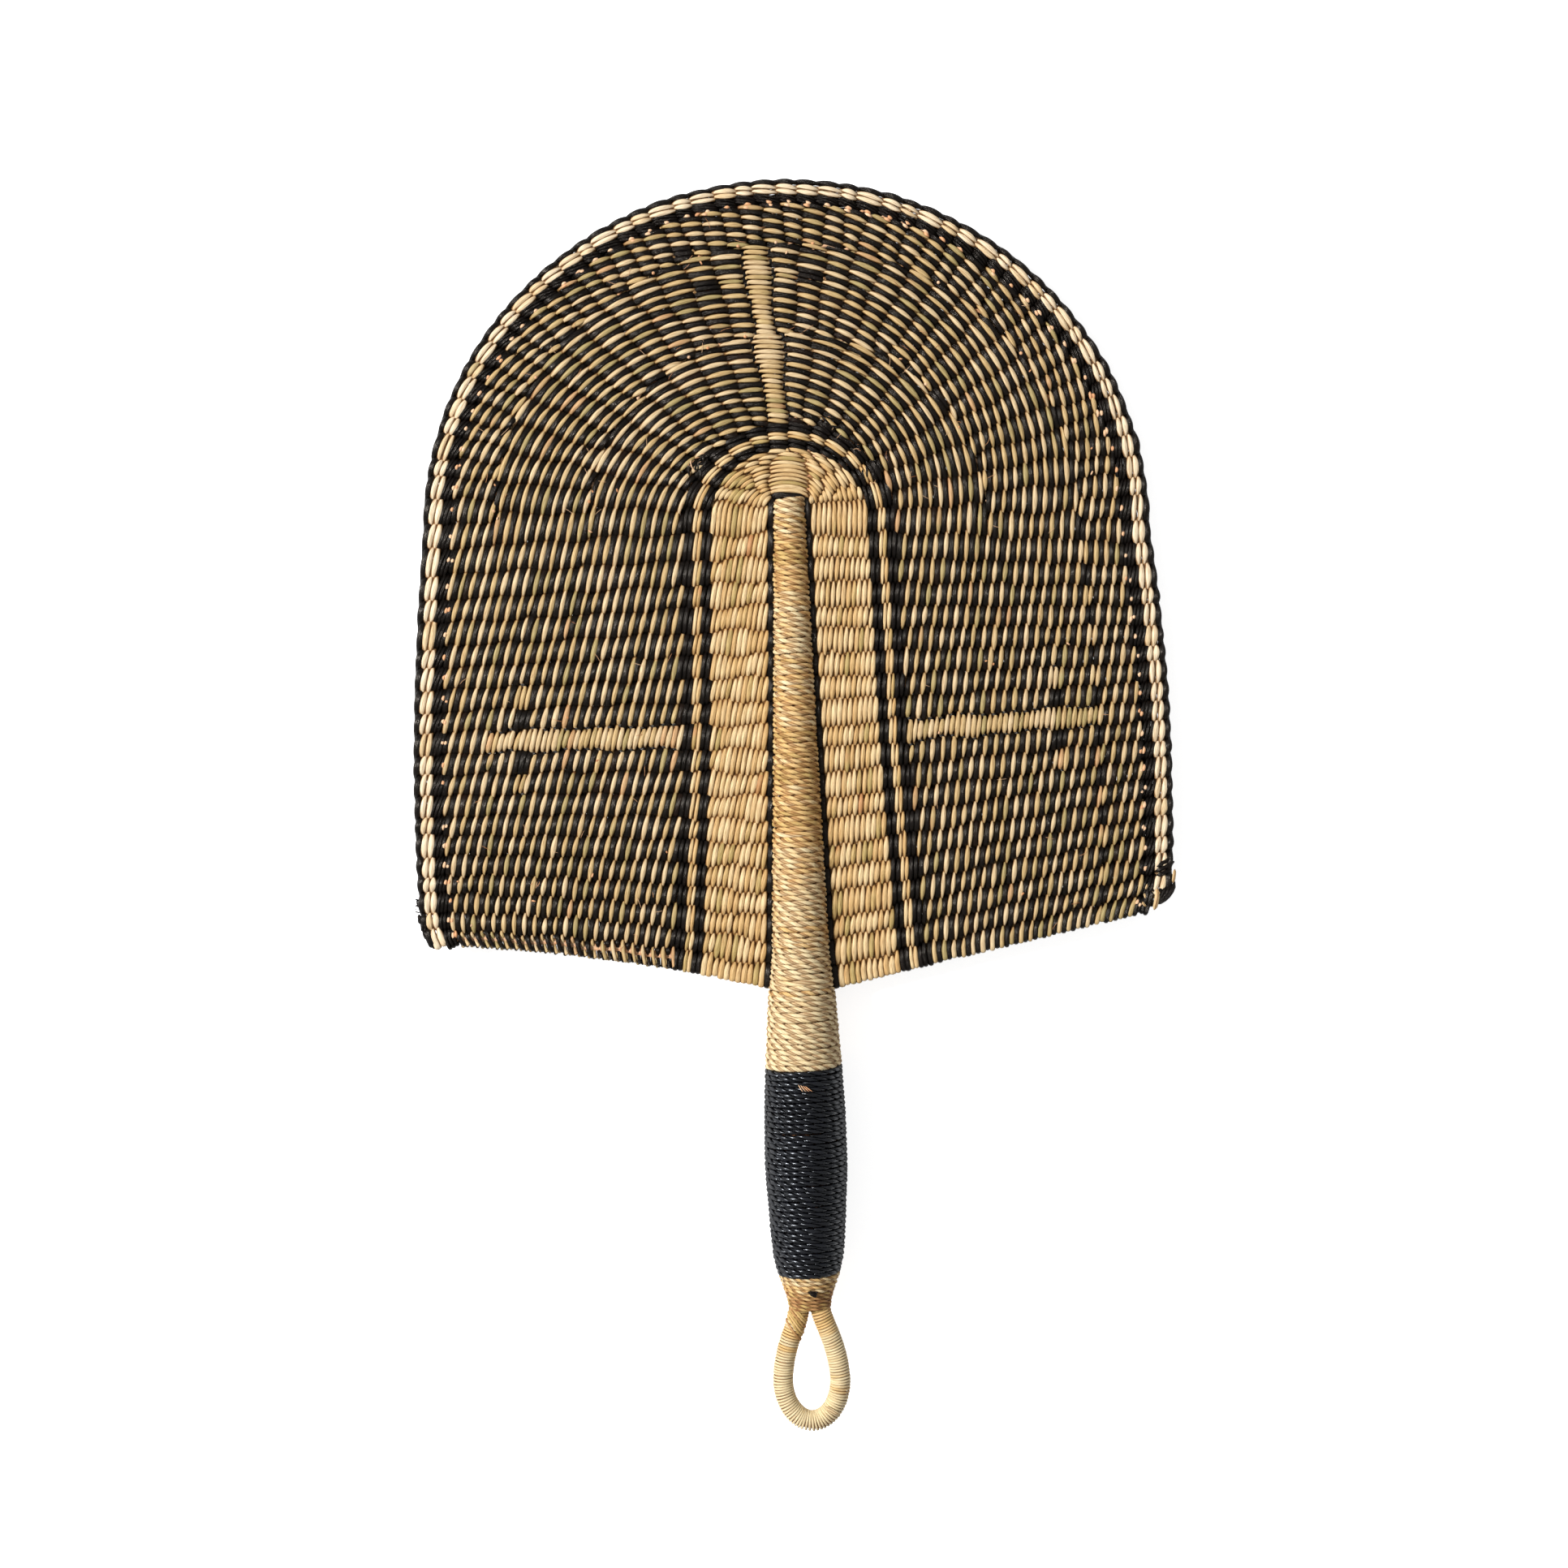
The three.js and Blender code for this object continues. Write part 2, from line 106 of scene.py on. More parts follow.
# A station runs 0 to 1 up the left side, 1 to 2 over the dome and 2 to 3 down the right side.
# It is read as the share of the way up a side, that side, and the angle over the dome.
def readStation(station):
    share = np.where(station < 1.5, station, 3 - station)
    side = np.where(station < 1.5, -1.0, 1.0)
    return share, side, np.pi * (2 - np.clip(station, 1, 2))


# The inner edge follows the binding and closes over it in a half circle.
def innerEdge(station):
    share, side, angle = readStation(station)
    top = handle["spineTop"]
    y = top * np.minimum(share, 1)
    rounding = bindingRadius(top) + blade["room"]
    x = np.where(share >= 1, handleX(top) + rounding * np.cos(angle),
                 handleX(y) + side * (bindingRadius(y) + blade["room"]))
    return np.stack([x, np.where(share >= 1, top + rounding * np.sin(angle), y)], -1)


# The outer edge: an ellipse over the dome, and straight sides with a parabola's bulge. Both
# sides turn in at their lower corners.
def outerEdge(station):
    share, side, angle = readStation(station)
    low, flare, bulge, turn, drop = (np.where(side < 0, *pair) for pair in bladeSides.values())
    up = np.minimum(share, 1)
    bow = 4 * up * (1 - up)
    half, shoulder = blade["domeHalf"], blade["shoulder"]
    turned = np.maximum(0, 1 - up / blade["turnTo"]) ** 2
    wide = half + flare * (1 - up) + bulge * bow - turn * turned
    high = low + (shoulder - low) * up - drop * bow
    x = np.where(share >= 1, half * np.cos(angle), side * wide) + blade["domeX"]
    y = np.where(share >= 1, shoulder + blade["domeRise"] * np.sin(angle), high)
    return np.stack([x, y], -1)


def reach(station):
    return np.linalg.norm(outerEdge(station) - innerEdge(station), axis=-1)


# Inner edge plus the share of the way to the outer edge, with a bow in the left stakes. Close
# to the core's tip the rows lie lower, and their arch is pushed out towards a rounded square.
def bladePoint(station, distance):
    share = distance / reach(station)
    inner = innerEdge(station)
    _, _, angle = readStation(station)
    cosine, sine = np.cos(angle), np.sin(angle)
    power = 2 + blade["archFlat"] * np.exp(-distance / blade["archFade"])
    radius = np.abs(cosine) ** power + sine ** power
    push = bindingRadius(handle["spineTop"]) * (radius ** (-1 / power) - 1)
    point = inner + (outerEdge(station) - inner) * share[..., None]
    point[..., 0] += push * cosine * np.exp(-distance / blade["pushFade"])
    point[..., 1] += push * sine * np.exp(-distance / blade["pushFade"])
    point[..., 1] -= blade["archDrop"] * sine * (1 - np.clip(share, 0, 1)) ** 0.5
    low = np.where(station < 1, (1 - np.minimum(station, 1)) ** 2, 0)
    point[..., 1] += blade["leftBow"] * 4 * share * (1 - share) * low
    return point


def bandWidth(band, station):
    width, drawIn, spread = band
    share, _, angle = readStation(station)
    spreading = np.maximum(0, 1 - share / blade["spreadTo"])
    return width * (1 - drawIn * np.sin(angle)) + spread * spreading


def widthOf(bands, station):
    return sum((bandWidth(band, station) for band in bands), 0 * station)


# Distances of a band's two edges from the spine at each station.
def bandSpan(name, station):
    inner, outer = list(innerBands.values()), list(outerBands.values())
    if name in innerBands:
        near = widthOf(inner[:list(innerBands).index(name)], station)
        return near, near + bandWidth(innerBands[name], station)
    if name == "field":
        return widthOf(inner, station), reach(station) - widthOf(outer, station)
    far = reach(station) - widthOf(outer[list(outerBands).index(name) + 1:], station)
    return far - bandWidth(outerBands[name], station), far


# From the flat fan to the scene: tip about X, shift, and divide by a thousand.
def toScene(points):
    c, s = math.cos(tipAngle), math.sin(tipAngle)
    x, y, z = points[..., 0], points[..., 1], points[..., 2]
    tipped = np.stack([x, y * c - z * s, y * s + z * c], -1)
    return (tipped + restPlace) / 1000


# From the handle's own axes to the flat fan: turn by the lean and shift to the axis.
def fromHandle(points):
    c, s = math.cos(handle["lean"]), math.sin(handle["lean"])
    x, y, z = points[..., 0], points[..., 1], points[..., 2]
    return np.stack([handle["axisX"] + x * c - y * s, x * s + y * c, z], -1)


# The last value is the amount of painted shade where the strand dives under another.
def newStrand(centre, across, wide, thick, tone, seed, tuckShade=0.0):
    return {"centre": centre, "across": across, "wide": wide, "thick": thick, "tone": tone,
            "tuckShade": tuckShade, "seed": seed}


def unit(vectors):
    return vectors / np.maximum(np.linalg.norm(vectors, axis=-1, keepdims=True), 1e-9)


def lengthAlong(line):
    return np.concatenate([[0], np.cumsum(np.linalg.norm(np.diff(line, axis=0), axis=1))])


def along(line, run, places):
    return np.stack([np.interp(places, run, line[:, k]) for k in range(line.shape[1])], -1)


def smooth(part):
    return part * part * (3 - 2 * part)


# Random values at even steps along the places, joined smoothly.
def drift(places, every, amount):
    low, high = np.floor(places.min() / every) - 1, np.ceil(places.max() / every) + 2
    values = dice.normal(0, amount, int(high - low) + 1)
    place = places / every
    index = np.floor(place).astype(int) - int(low)
    part = smooth(place - np.floor(place))
    return values[index] * (1 - part) + values[index + 1] * part


# Meshes of strands

# A strand is an oval carried along a line, with a tip at both ends. Each point is also given as
# the strand's length there and its place round the oval as a cosine and a sine.
def strandPoints(strand, turn):
    centre = strand["centre"]
    ahead = unit(np.gradient(centre, axis=0))
    across = strand["across"]
    across = unit(across - ahead * np.sum(ahead * across, -1, keepdims=True))
    over = np.cross(ahead, across)
    wide = np.broadcast_to(strand["wide"], len(centre))
    thick = np.broadcast_to(strand["thick"], len(centre))
    cosine, sine = np.cos(turn)[:, None], np.sin(turn)[:, None]
    rings = (centre[:, None] + wide[:, None, None] * across[:, None] * cosine
             + thick[:, None, None] * over[:, None] * sine)
    tips = [centre[0] - ahead[0] * wide[0] * 0.5, centre[-1] + ahead[-1] * wide[-1] * 0.5]
    length = lengthAlong(centre) + strand["seed"] * 37.0
    grain = np.stack(np.broadcast_arrays(length[:, None], np.cos(turn), np.sin(turn)), -1)
    tipGrain = [[length[0], 0, 0], [length[-1], 0, 0]]
    return (np.concatenate([rings.reshape(-1, 3), tips]),
            np.concatenate([grain.reshape(-1, 3), tipGrain]))


# Four-cornered faces between a strand's rings, and fans of triangles on its tips.
def strandFaces(start, rings, sides):
    side = np.arange(sides)
    a = start + np.arange(rings - 1)[:, None] * sides + side
    b = start + np.arange(rings - 1)[:, None] * sides + (side + 1) % sides
    quads = np.stack([a, b, b + sides, a + sides], -1).reshape(-1, 4)
    first, last, tip = start + side, start + (rings - 1) * sides + side, start + rings * sides
    fans = [np.stack([np.full(sides, tip), np.roll(first, -1), first], -1),
            np.stack([np.full(sides, tip + 1), last, np.roll(last, -1)], -1)]
    return quads, np.concatenate(fans)


def newMesh(name, points, quads, fans):
    mesh = bpy.data.meshes.new(name)
    mesh.vertices.add(len(points))
    mesh.vertices.foreach_set("co", points.astype(np.float32).ravel())
    corners = np.concatenate([quads.ravel(), fans.ravel()])
    mesh.loops.add(len(corners))
    mesh.loops.foreach_set("vertex_index", corners.astype(np.int32))
    starts = np.concatenate([np.arange(len(quads)) * 4, len(quads) * 4 + np.arange(len(fans)) * 3])
    mesh.polygons.add(len(starts))
    mesh.polygons.foreach_set("loop_start", starts.astype(np.int32))
    mesh.update(calc_edges=True)
    mesh.shade_smooth()
    return mesh


def strandsMesh(name, strands, sides, finish, nodes, handleAxes=False):
    material, slot = finish
    turn = np.linspace(0, 2 * np.pi, sides, endpoint=False)
    points, grain, quads, fans = [], [], [], []
    shades = {"tone": [], "tuckShade": []}
    count = 0
    for strand in strands:
        rings = len(strand["centre"])
        for kept, made in zip((points, grain), strandPoints(strand, turn)):
            kept.append(made)
        for kept, made in zip((quads, fans), strandFaces(count, rings, sides)):
            kept.append(made)
        for key, kept in shades.items():
            values = np.broadcast_to(strand.get(key, 0.0), rings)
            kept += [np.repeat(values, sides), values[[0, -1]]]
        count += len(points[-1])
    points, quads, fans = np.concatenate(points), np.concatenate(quads), np.concatenate(fans)
    mesh = newMesh(name, toScene(fromHandle(points) if handleAxes else points), quads, fans)
    mesh.attributes.new("grain", "FLOAT_VECTOR", "POINT").data.foreach_set(
        "vector", np.concatenate(grain).astype(np.float32).ravel())
    for key, values in shades.items():
        mesh.attributes.new(key, "FLOAT", "POINT").data.foreach_set(
            "value", np.concatenate(values).astype(np.float32))
    layStrips(mesh, len(quads), len(fans), sides)
    mesh.materials.append(material)
    piece = addObject(name, mesh)
    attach(piece, "root")
    if nodes:
        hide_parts(*nodes)
    print(f"{name}: {len(strands)} strands, {2 * len(quads) + len(fans)} triangles")


# The bake map: the rings' faces side by side in strips with a margin between them, and the
# tips' triangles in a last strip.
def layStrips(mesh, quadCount, fanCount, sides):
    perStrip = max(1, int(math.sqrt(quadCount)))
    strips = math.ceil(quadCount // sides / perStrip) + 1
    margin, fanMargin = 0.02, 0.1
    ring, side = np.divmod(np.arange(quadCount), sides)
    strip, place = np.divmod(ring, perStrip)
    corner = np.array([[0, 0], [0, 1], [1, 1], [1, 0]])
    u = (place[:, None] + corner[:, 0]) / perStrip
    down = margin + (1 - 2 * margin) * (side[:, None] + corner[:, 1]) / sides
    quadMap = np.stack([u, (strip[:, None] + down) / strips], -1).reshape(-1, 2)
    fanU = (np.arange(fanCount)[:, None] + np.array([0.5, 0.0, 1.0])) / fanCount
    fanV = (strips - 1 + np.tile([1 - fanMargin, fanMargin, fanMargin], (fanCount, 1))) / strips
    fanMap = np.stack([fanU, fanV], -1).reshape(-1, 2)
    layer = mesh.uv_layers.new(name="OFBake")
    layer.data.foreach_set("uv", np.concatenate([quadMap, fanMap]).astype(np.float32).ravel())


# Materials

white = (1, 1, 1, 1)


# Gives each input of a node its value, or joins it to another node's output.
def fill(tree, node, inputs):
    for key, value in inputs.items():
        if isinstance(value, bpy.types.NodeSocket):
            tree.links.new(value, node.inputs[key])
        else:
            node.inputs[key].default_value = value
    return node


def newNode(tree, kind, inputs):
    return fill(tree, tree.nodes.new("ShaderNode" + kind), inputs)


def reckon(tree, operation, *values):
    node = newNode(tree, "Math", dict(enumerate(values)))
    node.operation = operation
    return node.outputs[0]


def newMaterial(name):
    material = bpy.data.materials.new(name)
    material.use_nodes = True
    return material, material.node_tree, material.node_tree.nodes["Principled BSDF"]


def seen(*colour):
    level = np.array(colour) / 255
    made = np.where(level <= 0.04045, level / 12.92, ((level + 0.055) / 1.055) ** 2.4)
    return (*made.tolist(), 1.0)


# Straw: four colours chosen by the strand's tone, streaks along the strand, and a soft mottle
# over the fan. As painted shade, the strand's flanks and the places where it dives under its
# partner turn to the shade colour. It gives out the colour, the roughness and the height of the
# streaks.
strawColours = ("Light", "Golden", "Olive", "Tan", "PaintedShade")
strawValues = ("Streaks", "Mottle", "Smooth", "Rough", "Length", "Round", "FlankShade", "DiveShade")
strawShades = {"Golden": (0.2, 0.5), "Olive": (0.55, 0.75), "Tan": (0.8, 0.95)}


def strawGroup():
    group = bpy.data.node_groups.new("strawFibre", "ShaderNodeTree")
    for names, way, kind in ((strawColours, "INPUT", "Color"), (strawValues, "INPUT", "Float"),
                             (("Color",), "OUTPUT", "Color"),
                             (("Roughness", "Height"), "OUTPUT", "Float")):
        for name in names:
            group.interface.new_socket(name, in_out=way, socket_type="NodeSocket" + kind)
    given = group.nodes.new("NodeGroupInput").outputs

    def stored(name):
        node = newNode(group, "Attribute", {})
        node.attribute_name = name
        return node.outputs

    def noise(vector, scale, detail):
        values = {"Vector": vector, "Scale": scale, "Detail": detail}
        return newNode(group, "TexNoise", values).outputs["Fac"]

    def times(a, b):
        return reckon(group, "MULTIPLY", a, b)

    def ramp(source, low, high):
        node = newNode(group, "MapRange", {"Value": source, "From Min": low, "From Max": high})
        node.interpolation_type = "SMOOTHSTEP"
        return node.outputs["Result"]

    # a colour mix has its amount and its two colours at these places, and gives output 2
    def mix(kind, amount, a, b):
        node = newNode(group, "Mix", {})
        node.data_type = "RGBA"
        node.blend_type = kind
        return fill(group, node, {0: amount, 6: a, 7: b}).outputs[2]

    length, cosine, sine = newNode(group, "SeparateXYZ", {0: stored("grain")["Vector"]}).outputs
    tone, tuckShade = stored("tone")["Fac"], stored("tuckShade")["Fac"]
    grain = newNode(group, "CombineXYZ", {
        0: times(length, given["Length"]), 1: times(cosine, given["Round"]),
        2: times(sine, given["Round"])})
    fine = noise(grain.outputs[0], 1.6, 3)
    broad = noise(newNode(group, "TexCoord", {}).outputs["Object"], 140, 2)
    mottled = times(reckon(group, "SUBTRACT", broad, 0.5), given["Mottle"])
    shade = reckon(group, "ADD", tone, mottled)
    colour = given["Light"]
    for name, (low, high) in strawShades.items():
        colour = mix("MIX", ramp(shade, low, high), colour, given[name])
    streak = times(ramp(fine, 0.38, 0.68), given["Streaks"])
    colour = mix("MULTIPLY", streak, colour, (0.46, 0.33, 0.2, 1))
    # painted shade: the strand's flanks, and where it dives under its partner, are darkened
    narrowed = times(reckon(group, "POWER", tuckShade, 1.6), 0.62)
    aside = reckon(group, "ADD", reckon(group, "ABSOLUTE", cosine, 0), narrowed)
    flankShade = times(ramp(aside, 0.66, 1.0), given["FlankShade"])
    diveShade = times(ramp(tuckShade, 0.8, 1.0), given["DiveShade"])
    colour = mix("MULTIPLY", reckon(group, "MAXIMUM", flankShade, diveShade), colour, given["PaintedShade"])
    rough = newNode(group, "MapRange", {"Value": fine, "From Min": 0.3, "From Max": 0.7,
                                        "To Min": given["Smooth"], "To Max": given["Rough"]})
    fill(group, group.nodes.new("NodeGroupOutput"),
         {"Color": colour, "Roughness": rough.outputs["Result"], "Height": fine})
    return group


strawFibre = strawGroup()


# A material and its slot. The values stand in the order of strawValues. deep is the colour of
# the painted shade on the strands' flanks and where they dive.
def strawMaterial(name, slot, colours, deep, bump, values, shine=0.5, tint=(1.0, 0.9, 0.8, 1)):
    material, tree, shader = newMaterial(name)
    fibre = newNode(tree, "Group", {})
    fibre.node_tree = strawFibre
    inputs = [*[seen(*colour) for colour in colours], deep, *values]
    fill(tree, fibre, dict(zip(strawColours + strawValues, inputs)))
    height = fibre.outputs["Height"]
    relief = newNode(tree, "Bump", {"Distance": bump, "Strength": 0.6, "Height": height})
    fill(tree, shader, {
        "Specular IOR Level": shine, "Specular Tint": tint, "Normal": relief.outputs["Normal"],
        "Base Color": fibre.outputs["Color"], "Roughness": fibre.outputs["Roughness"]})
    return material, slot


# the colour of the painted shade on the straws
warmPaintedShade = (0.3, 0.16, 0.05, 1)
naturalStraw = strawMaterial(
    "naturalStraw", "natural_straw",
    [(240, 212, 162), (220, 182, 122), (192, 168, 106), (204, 150, 98)], warmPaintedShade, 0.0003,
    (0.75, 0.3, 0.4, 0.7, 0.18, 4.2, 0.88, 0.9))
fieldStraw = strawMaterial(
    "fieldStraw", "two_tone_rows",
    [(230, 205, 162), (212, 182, 128), (180, 162, 108), (212, 170, 122)], warmPaintedShade, 0.0003,
    (0.75, 0.3, 0.4, 0.7, 0.18, 4.2, 0.85, 0.9))
braidStraw = strawMaterial(
    "braidStraw", "natural_straw",
    [(252, 232, 198), (238, 210, 164), (208, 186, 138), (222, 176, 132)], warmPaintedShade, 0.0003,
    (0.7, 0.3, 0.4, 0.7, 0.18, 4.2, 0.88, 0.9))
blackStraw = strawMaterial(
    "blackStraw", "black_straw",
    [(17, 13, 12), (10, 7, 6), (8, 5, 3), (26, 14, 9)], (0.4, 0.25, 0.15, 1), 0.0004,
    (0.3, 0.4, 0.16, 0.4, 0.25, 4.0, 0.9, 0.8), 0.3)
stakeStraw = strawMaterial(
    "stakeStraw", "stake_straw",
    [(248, 206, 166), (236, 176, 128), (220, 156, 108), (196, 124, 84)], warmPaintedShade, 0.0002,
    (0.4, 0.5, 0.5, 0.8, 0.25, 2.2, 0.3, 0.8))
naturalTwine = strawMaterial(
    "naturalTwine", "natural_twine",
    [(255, 236, 190), (246, 208, 142), (220, 188, 118), (206, 158, 102)], (0.3, 0.12, 0.03, 1),
    0.0004, (0.75, 0.4, 0.42, 0.7, 0.16, 4.6, 0.82, 0.8))
blackTwine = strawMaterial(
    "blackTwine", "black_twine",
    [(17, 18, 24), (10, 10, 14), (7, 7, 9), (15, 13, 13)], (0.3, 0.25, 0.25, 1), 0.00005,
    (0.4, 0.4, 0.19, 0.32, 0.08, 2.0, 0.9, 0.8), 0.6, (0.88, 0.93, 1.0, 1))
print("straw and twine materials made")

# The weave

weave = {
    "rise": 1.38, "thick": 0.64, "flatter": 0.78, "steps": 8, "sides": 8, "uneven": 0.3,
    "tips": [0, 0.008, 0.03, 0.06], "wander": 0.5, "wave": (0.5, 2.4), "sizes": 0.07,
    "leanAt": [0, 0.12, 0.35, 1.0, 1.5, 2.0, 3.0], "leanTip": 0.85, "step": (0.4, 0.2),
    "leanShare": [0.5, 0.8, 1.32, 1.32, 1.15, 1.0, 1.0], "dip": (1.14, 0.17), "tuckShade": 0.16,
}


# The last stitch on the lower left is loose, so that the stakes show. Over it lies a dark strand
# in every second outer row and a natural one in every second inner row. Those between pass below
# and come up at the end. Each pair is how far a strand leans to the handle and how much it thins.
loose = {"from": 0.4, "easeOver": 0.5, "leanOver": 0.9, "over": (0.85, 0.24),
         "below": (0.75, 0.3), "behind": (0.3, 0.3), "upFrom": 0.02, "upOver": 0.52}


def looseEnd(passed, row, strand, rise):
    ease = np.clip((loose["from"] - passed) / loose["easeOver"], 0, 1)
    leaning = np.clip((loose["from"] - passed) / loose["leanOver"], 0, 1)
    way = "behind"
    if strand == row % 2:
        way = "over" if strand == (row >= stakes["darkEnds"]) else "below"
    if way == "below":
        up = np.clip((loose["upFrom"] - passed) / loose["upOver"], 0, 1) ** 0.5
        rise = rise * (1 - ease) + ease * (2.3 * up - 1.1)
    lean, thin = loose[way]
    return rise, -lean * leaning, 1 - thin * ease


# Where a row's stitches meet along its line: evened out where that is asked, and shifted by a
# wave that runs on from row to row and by chance.
def stitchCuts(cuts, row, look, even):
    if even:
        widths = np.diff(cuts)
        for _ in range(3):
            padded = np.concatenate([widths[:1], widths, widths[-1:]])
            widths = (padded[:-2] + 2 * padded[1:-1] + padded[2:]) / 4
        cuts = np.concatenate([[0], np.cumsum(widths)]) * cuts[-1] / widths.sum()
    rowWave, stitchWave = weave["wave"]
    wander = np.sin(row * rowWave + stitchWave * np.arange(1, len(cuts) - 1))
    wander = wander * look.get("wander", weave["wander"])
    cuts[1:-1] += dice.normal(0, weave["uneven"], len(cuts) - 2) + wander
    cuts[[0, -1]] += np.abs(dice.normal(0, weave["uneven"], 2)) * np.array([1, -1])
    cuts[-1] -= look.get("short", 0)
    return cuts


# From stitch to stitch the strands turn half a turn round each other, and sideways they run
# straight from crossing to crossing, inwards in front and outwards behind. Where a strand stays
# in front, it dips under its partner. At the lower edge both bend to the blade's middle.
def strandPass(passed, front):
    stitches = len(front)
    index = np.clip(np.floor(passed).astype(int), 0, stitches - 2)
    part = np.clip(passed - index, 0, 1)
    stay = (front[1:] == front[:-1])[index]
    start, length = weave["step"]
    step = smooth(np.clip((part - start) / length, 0, 1))
    slant = 1 - np.abs(1 - 2 * part)
    slant = np.where(stay, slant * (1 - 2 * step), slant)
    depth, width = weave["dip"]
    dip = 1 - depth * np.exp(-((part - 0.5) / width) ** 2)
    cosine = np.where(stay, dip, np.cos(np.pi * part))
    # the mask of painted shade: where a strand dives under its partner or turns on edge
    diveShade = np.exp(-((part - 0.5) / weave["tuckShade"]) ** 2)
    tuckShade = np.where(stay, diveShade, 1 - np.abs(cosine))
    edge = np.clip(2 * np.maximum(-passed, passed - (stitches - 1)), 0, 1)
    turnOver = np.sqrt(1 - 0.98 * np.clip((edge - 0.8) / 0.2, 0, 1) ** 2)
    return np.where(front[index], 1.0, -1.0), slant, cosine, tuckShade, turnOver


def leftOf(ahead):
    return np.stack([-ahead[:, 1], ahead[:, 0]], -1)


# One row of two strands twined round the stakes, on a line at a share of its band. A strand is
# widest over a stake and narrows to the crossings. It gives the strands, and the place, the
# outward direction and the row's width at each stitch.
def twineRow(band, row, rows, bounds, front, look, even=True):
    fine = np.linspace(0, 3, 1501)
    near, far = bandSpan(band, fine)
    line = bladePoint(fine, near + (far - near) * (row + 0.5) / rows)
    run = lengthAlong(line)
    cuts = stitchCuts(np.interp(bounds, fine, run), row, look, even)
    stitches = len(bounds) - 1
    meets = np.arange(stitches + 1) - 0.5
    tips = np.array(weave["tips"])
    passed = np.arange(stitches * weave["steps"] + 1) / weave["steps"] - 0.5
    passed = np.concatenate([passed[0] + tips, passed[1:-1], passed[-1] - tips[::-1]])
    places = np.interp(passed, meets, cuts)
    flat, station = along(line, run, places), np.interp(places, run, fine)
    outward = leftOf(unit(np.gradient(flat, axis=0)))
    near, far = bandSpan(band, station)
    pitch = (far - near) / rows
    aside = drift(places, 14, 0.035 * look["pitch"]) - look.get("inwards", 0)
    flat = flat + outward * aside[:, None]
    across = np.column_stack([outward, np.zeros(len(passed))])
    frontSign, slant, cosine, tuckShade, turnOver = strandPass(passed, front)
    leaning = np.interp(station, weave["leanAt"], weave["leanShare"])
    slant, over = slant * leaning, np.abs(cosine)
    stitch = np.clip(np.floor(passed + 0.5).astype(int), 0, stitches - 1)
    thick = weave["thick"] * (weave["flatter"] + (1 - weave["flatter"]) * over)
    plies, kept = look.get("plies", 1), look.get("kept", 0.5)
    strands = []
    for strand in (0, 1):
        sign = frontSign * (1 - 2 * strand)
        rise = weave["rise"] * np.sign(sign * cosine) * over ** 0.5 * turnOver
        side = -look["lean"] * pitch * sign * slant
        full = look["fill"][strand] * pitch
        if "loose" in look:
            rise, shift, share = looseEnd(passed, row, strand, rise)
            side, full = side + shift * pitch, full * share
        tip = look["tip"][strand] * (1 + weave["leanTip"] * np.maximum(leaning - 1, 0))
        lens = tip + (1 - tip) * over ** 1.25
        size = 1 + dice.normal(0, weave["sizes"], stitches)
        jitter = dice.normal(0, look["jitter"], stitches)
        for ply in range(plies):
            shift = (ply + 0.5) / plies - 0.5
            tone = look["tone"] + drift(passed, 9, look["vary"]) + jitter[stitch]
            offset = side + full * shift * (kept + (1 - kept) * over ** 0.8)
            height = rise * (1 - 0.5 * shift ** 2)
            centre = np.column_stack([flat + outward * offset[:, None], height])
            strands.append(newStrand(centre, across, 0.5 * full / plies * lens * size[stitch],
                                     thick, tone, dice.uniform(0, 100), tuckShade))
    middles = np.interp(np.arange(stitches), meets, cuts)
    out = along(np.column_stack([outward, pitch]), places, middles)
    return strands, {"at": along(line, run, middles), "outward": out[:, :2], "pitch": out[:, 2]}


# Bounds of the stitches along a row: half way between the stakes on the sides, with those
# over the dome given as shares of it.
def rowBounds(domeBounds):
    heights = stakes["lowest"] + stakes["pitch"] * (np.arange(stakes["across"] - 1) + 0.5)
    left = heights / handle["spineTop"]
    return np.concatenate([[0], left, 1 + np.asarray(domeBounds), (3 - left)[::-1], [3]])


# Natural rows beside the spine: one wide stitch over the core's tip, and more and more
# stitches beside it as the rows grow longer.
innerArch = {"radius": 8.3, "step": 1.27, "wide": 6.6, "narrowAfter": 7, "narrowBy": 1.9}


def innerDome(row):
    radius = innerArch["radius"] + innerArch["step"] * row
    wide = innerArch["wide"] - innerArch["narrowBy"] * max(0, row - innerArch["narrowAfter"])
    half = math.asin(min(0.95, wide / radius)) / math.pi
    stitch = 5.2 if row < 9 else 6.4
    count = max(1, round((6 / domeParts - half) * math.pi * radius / stitch))
    left = np.linspace(0.5 / domeParts, 0.5 - half, count + 1)
    return np.concatenate([left, 1 - left[::-1]])


# The field gains stakes over the dome in two steps, where its second and third zones begin,
# spread evenly on either side of the top bar's stake.
fieldRows = 44
fieldZones = [{"first": 0, "bar": 9, "all": 19, "barWide": 0.5},
              {"first": 18, "bar": 14, "all": 31, "barWide": 0.68},
              {"first": 36, "bar": 24, "all": 50, "barWide": 0.5}]
fieldParts = {"Inner": range(0, 16), "Middle": range(16, 30), "Outer": range(30, 44)}
bars = {"rows": range(0, 36), "side": 10, "motif": 28, "topShare": 0.4656, "patchRow": 37,
        "patch": 39}


def zoneShare(zone, place):
    left = place / zone["bar"] * bars["topShare"]
    right = (place - zone["bar"]) / (zone["all"] - zone["bar"]) * (1 - bars["topShare"])
    return np.where(place <= zone["bar"], left, bars["topShare"] + right)


def zoneOf(row):
    return [zone for zone in fieldZones if zone["first"] <= row][-1]


def fieldDome(row):
    zone = zoneOf(row)
    places = np.arange(zone["all"]) + 0.5
    places[zone["bar"] - 1] = zone["bar"] - zone["barWide"]
    places[zone["bar"]] = zone["bar"] + zone["barWide"]
    return zoneShare(zone, places)


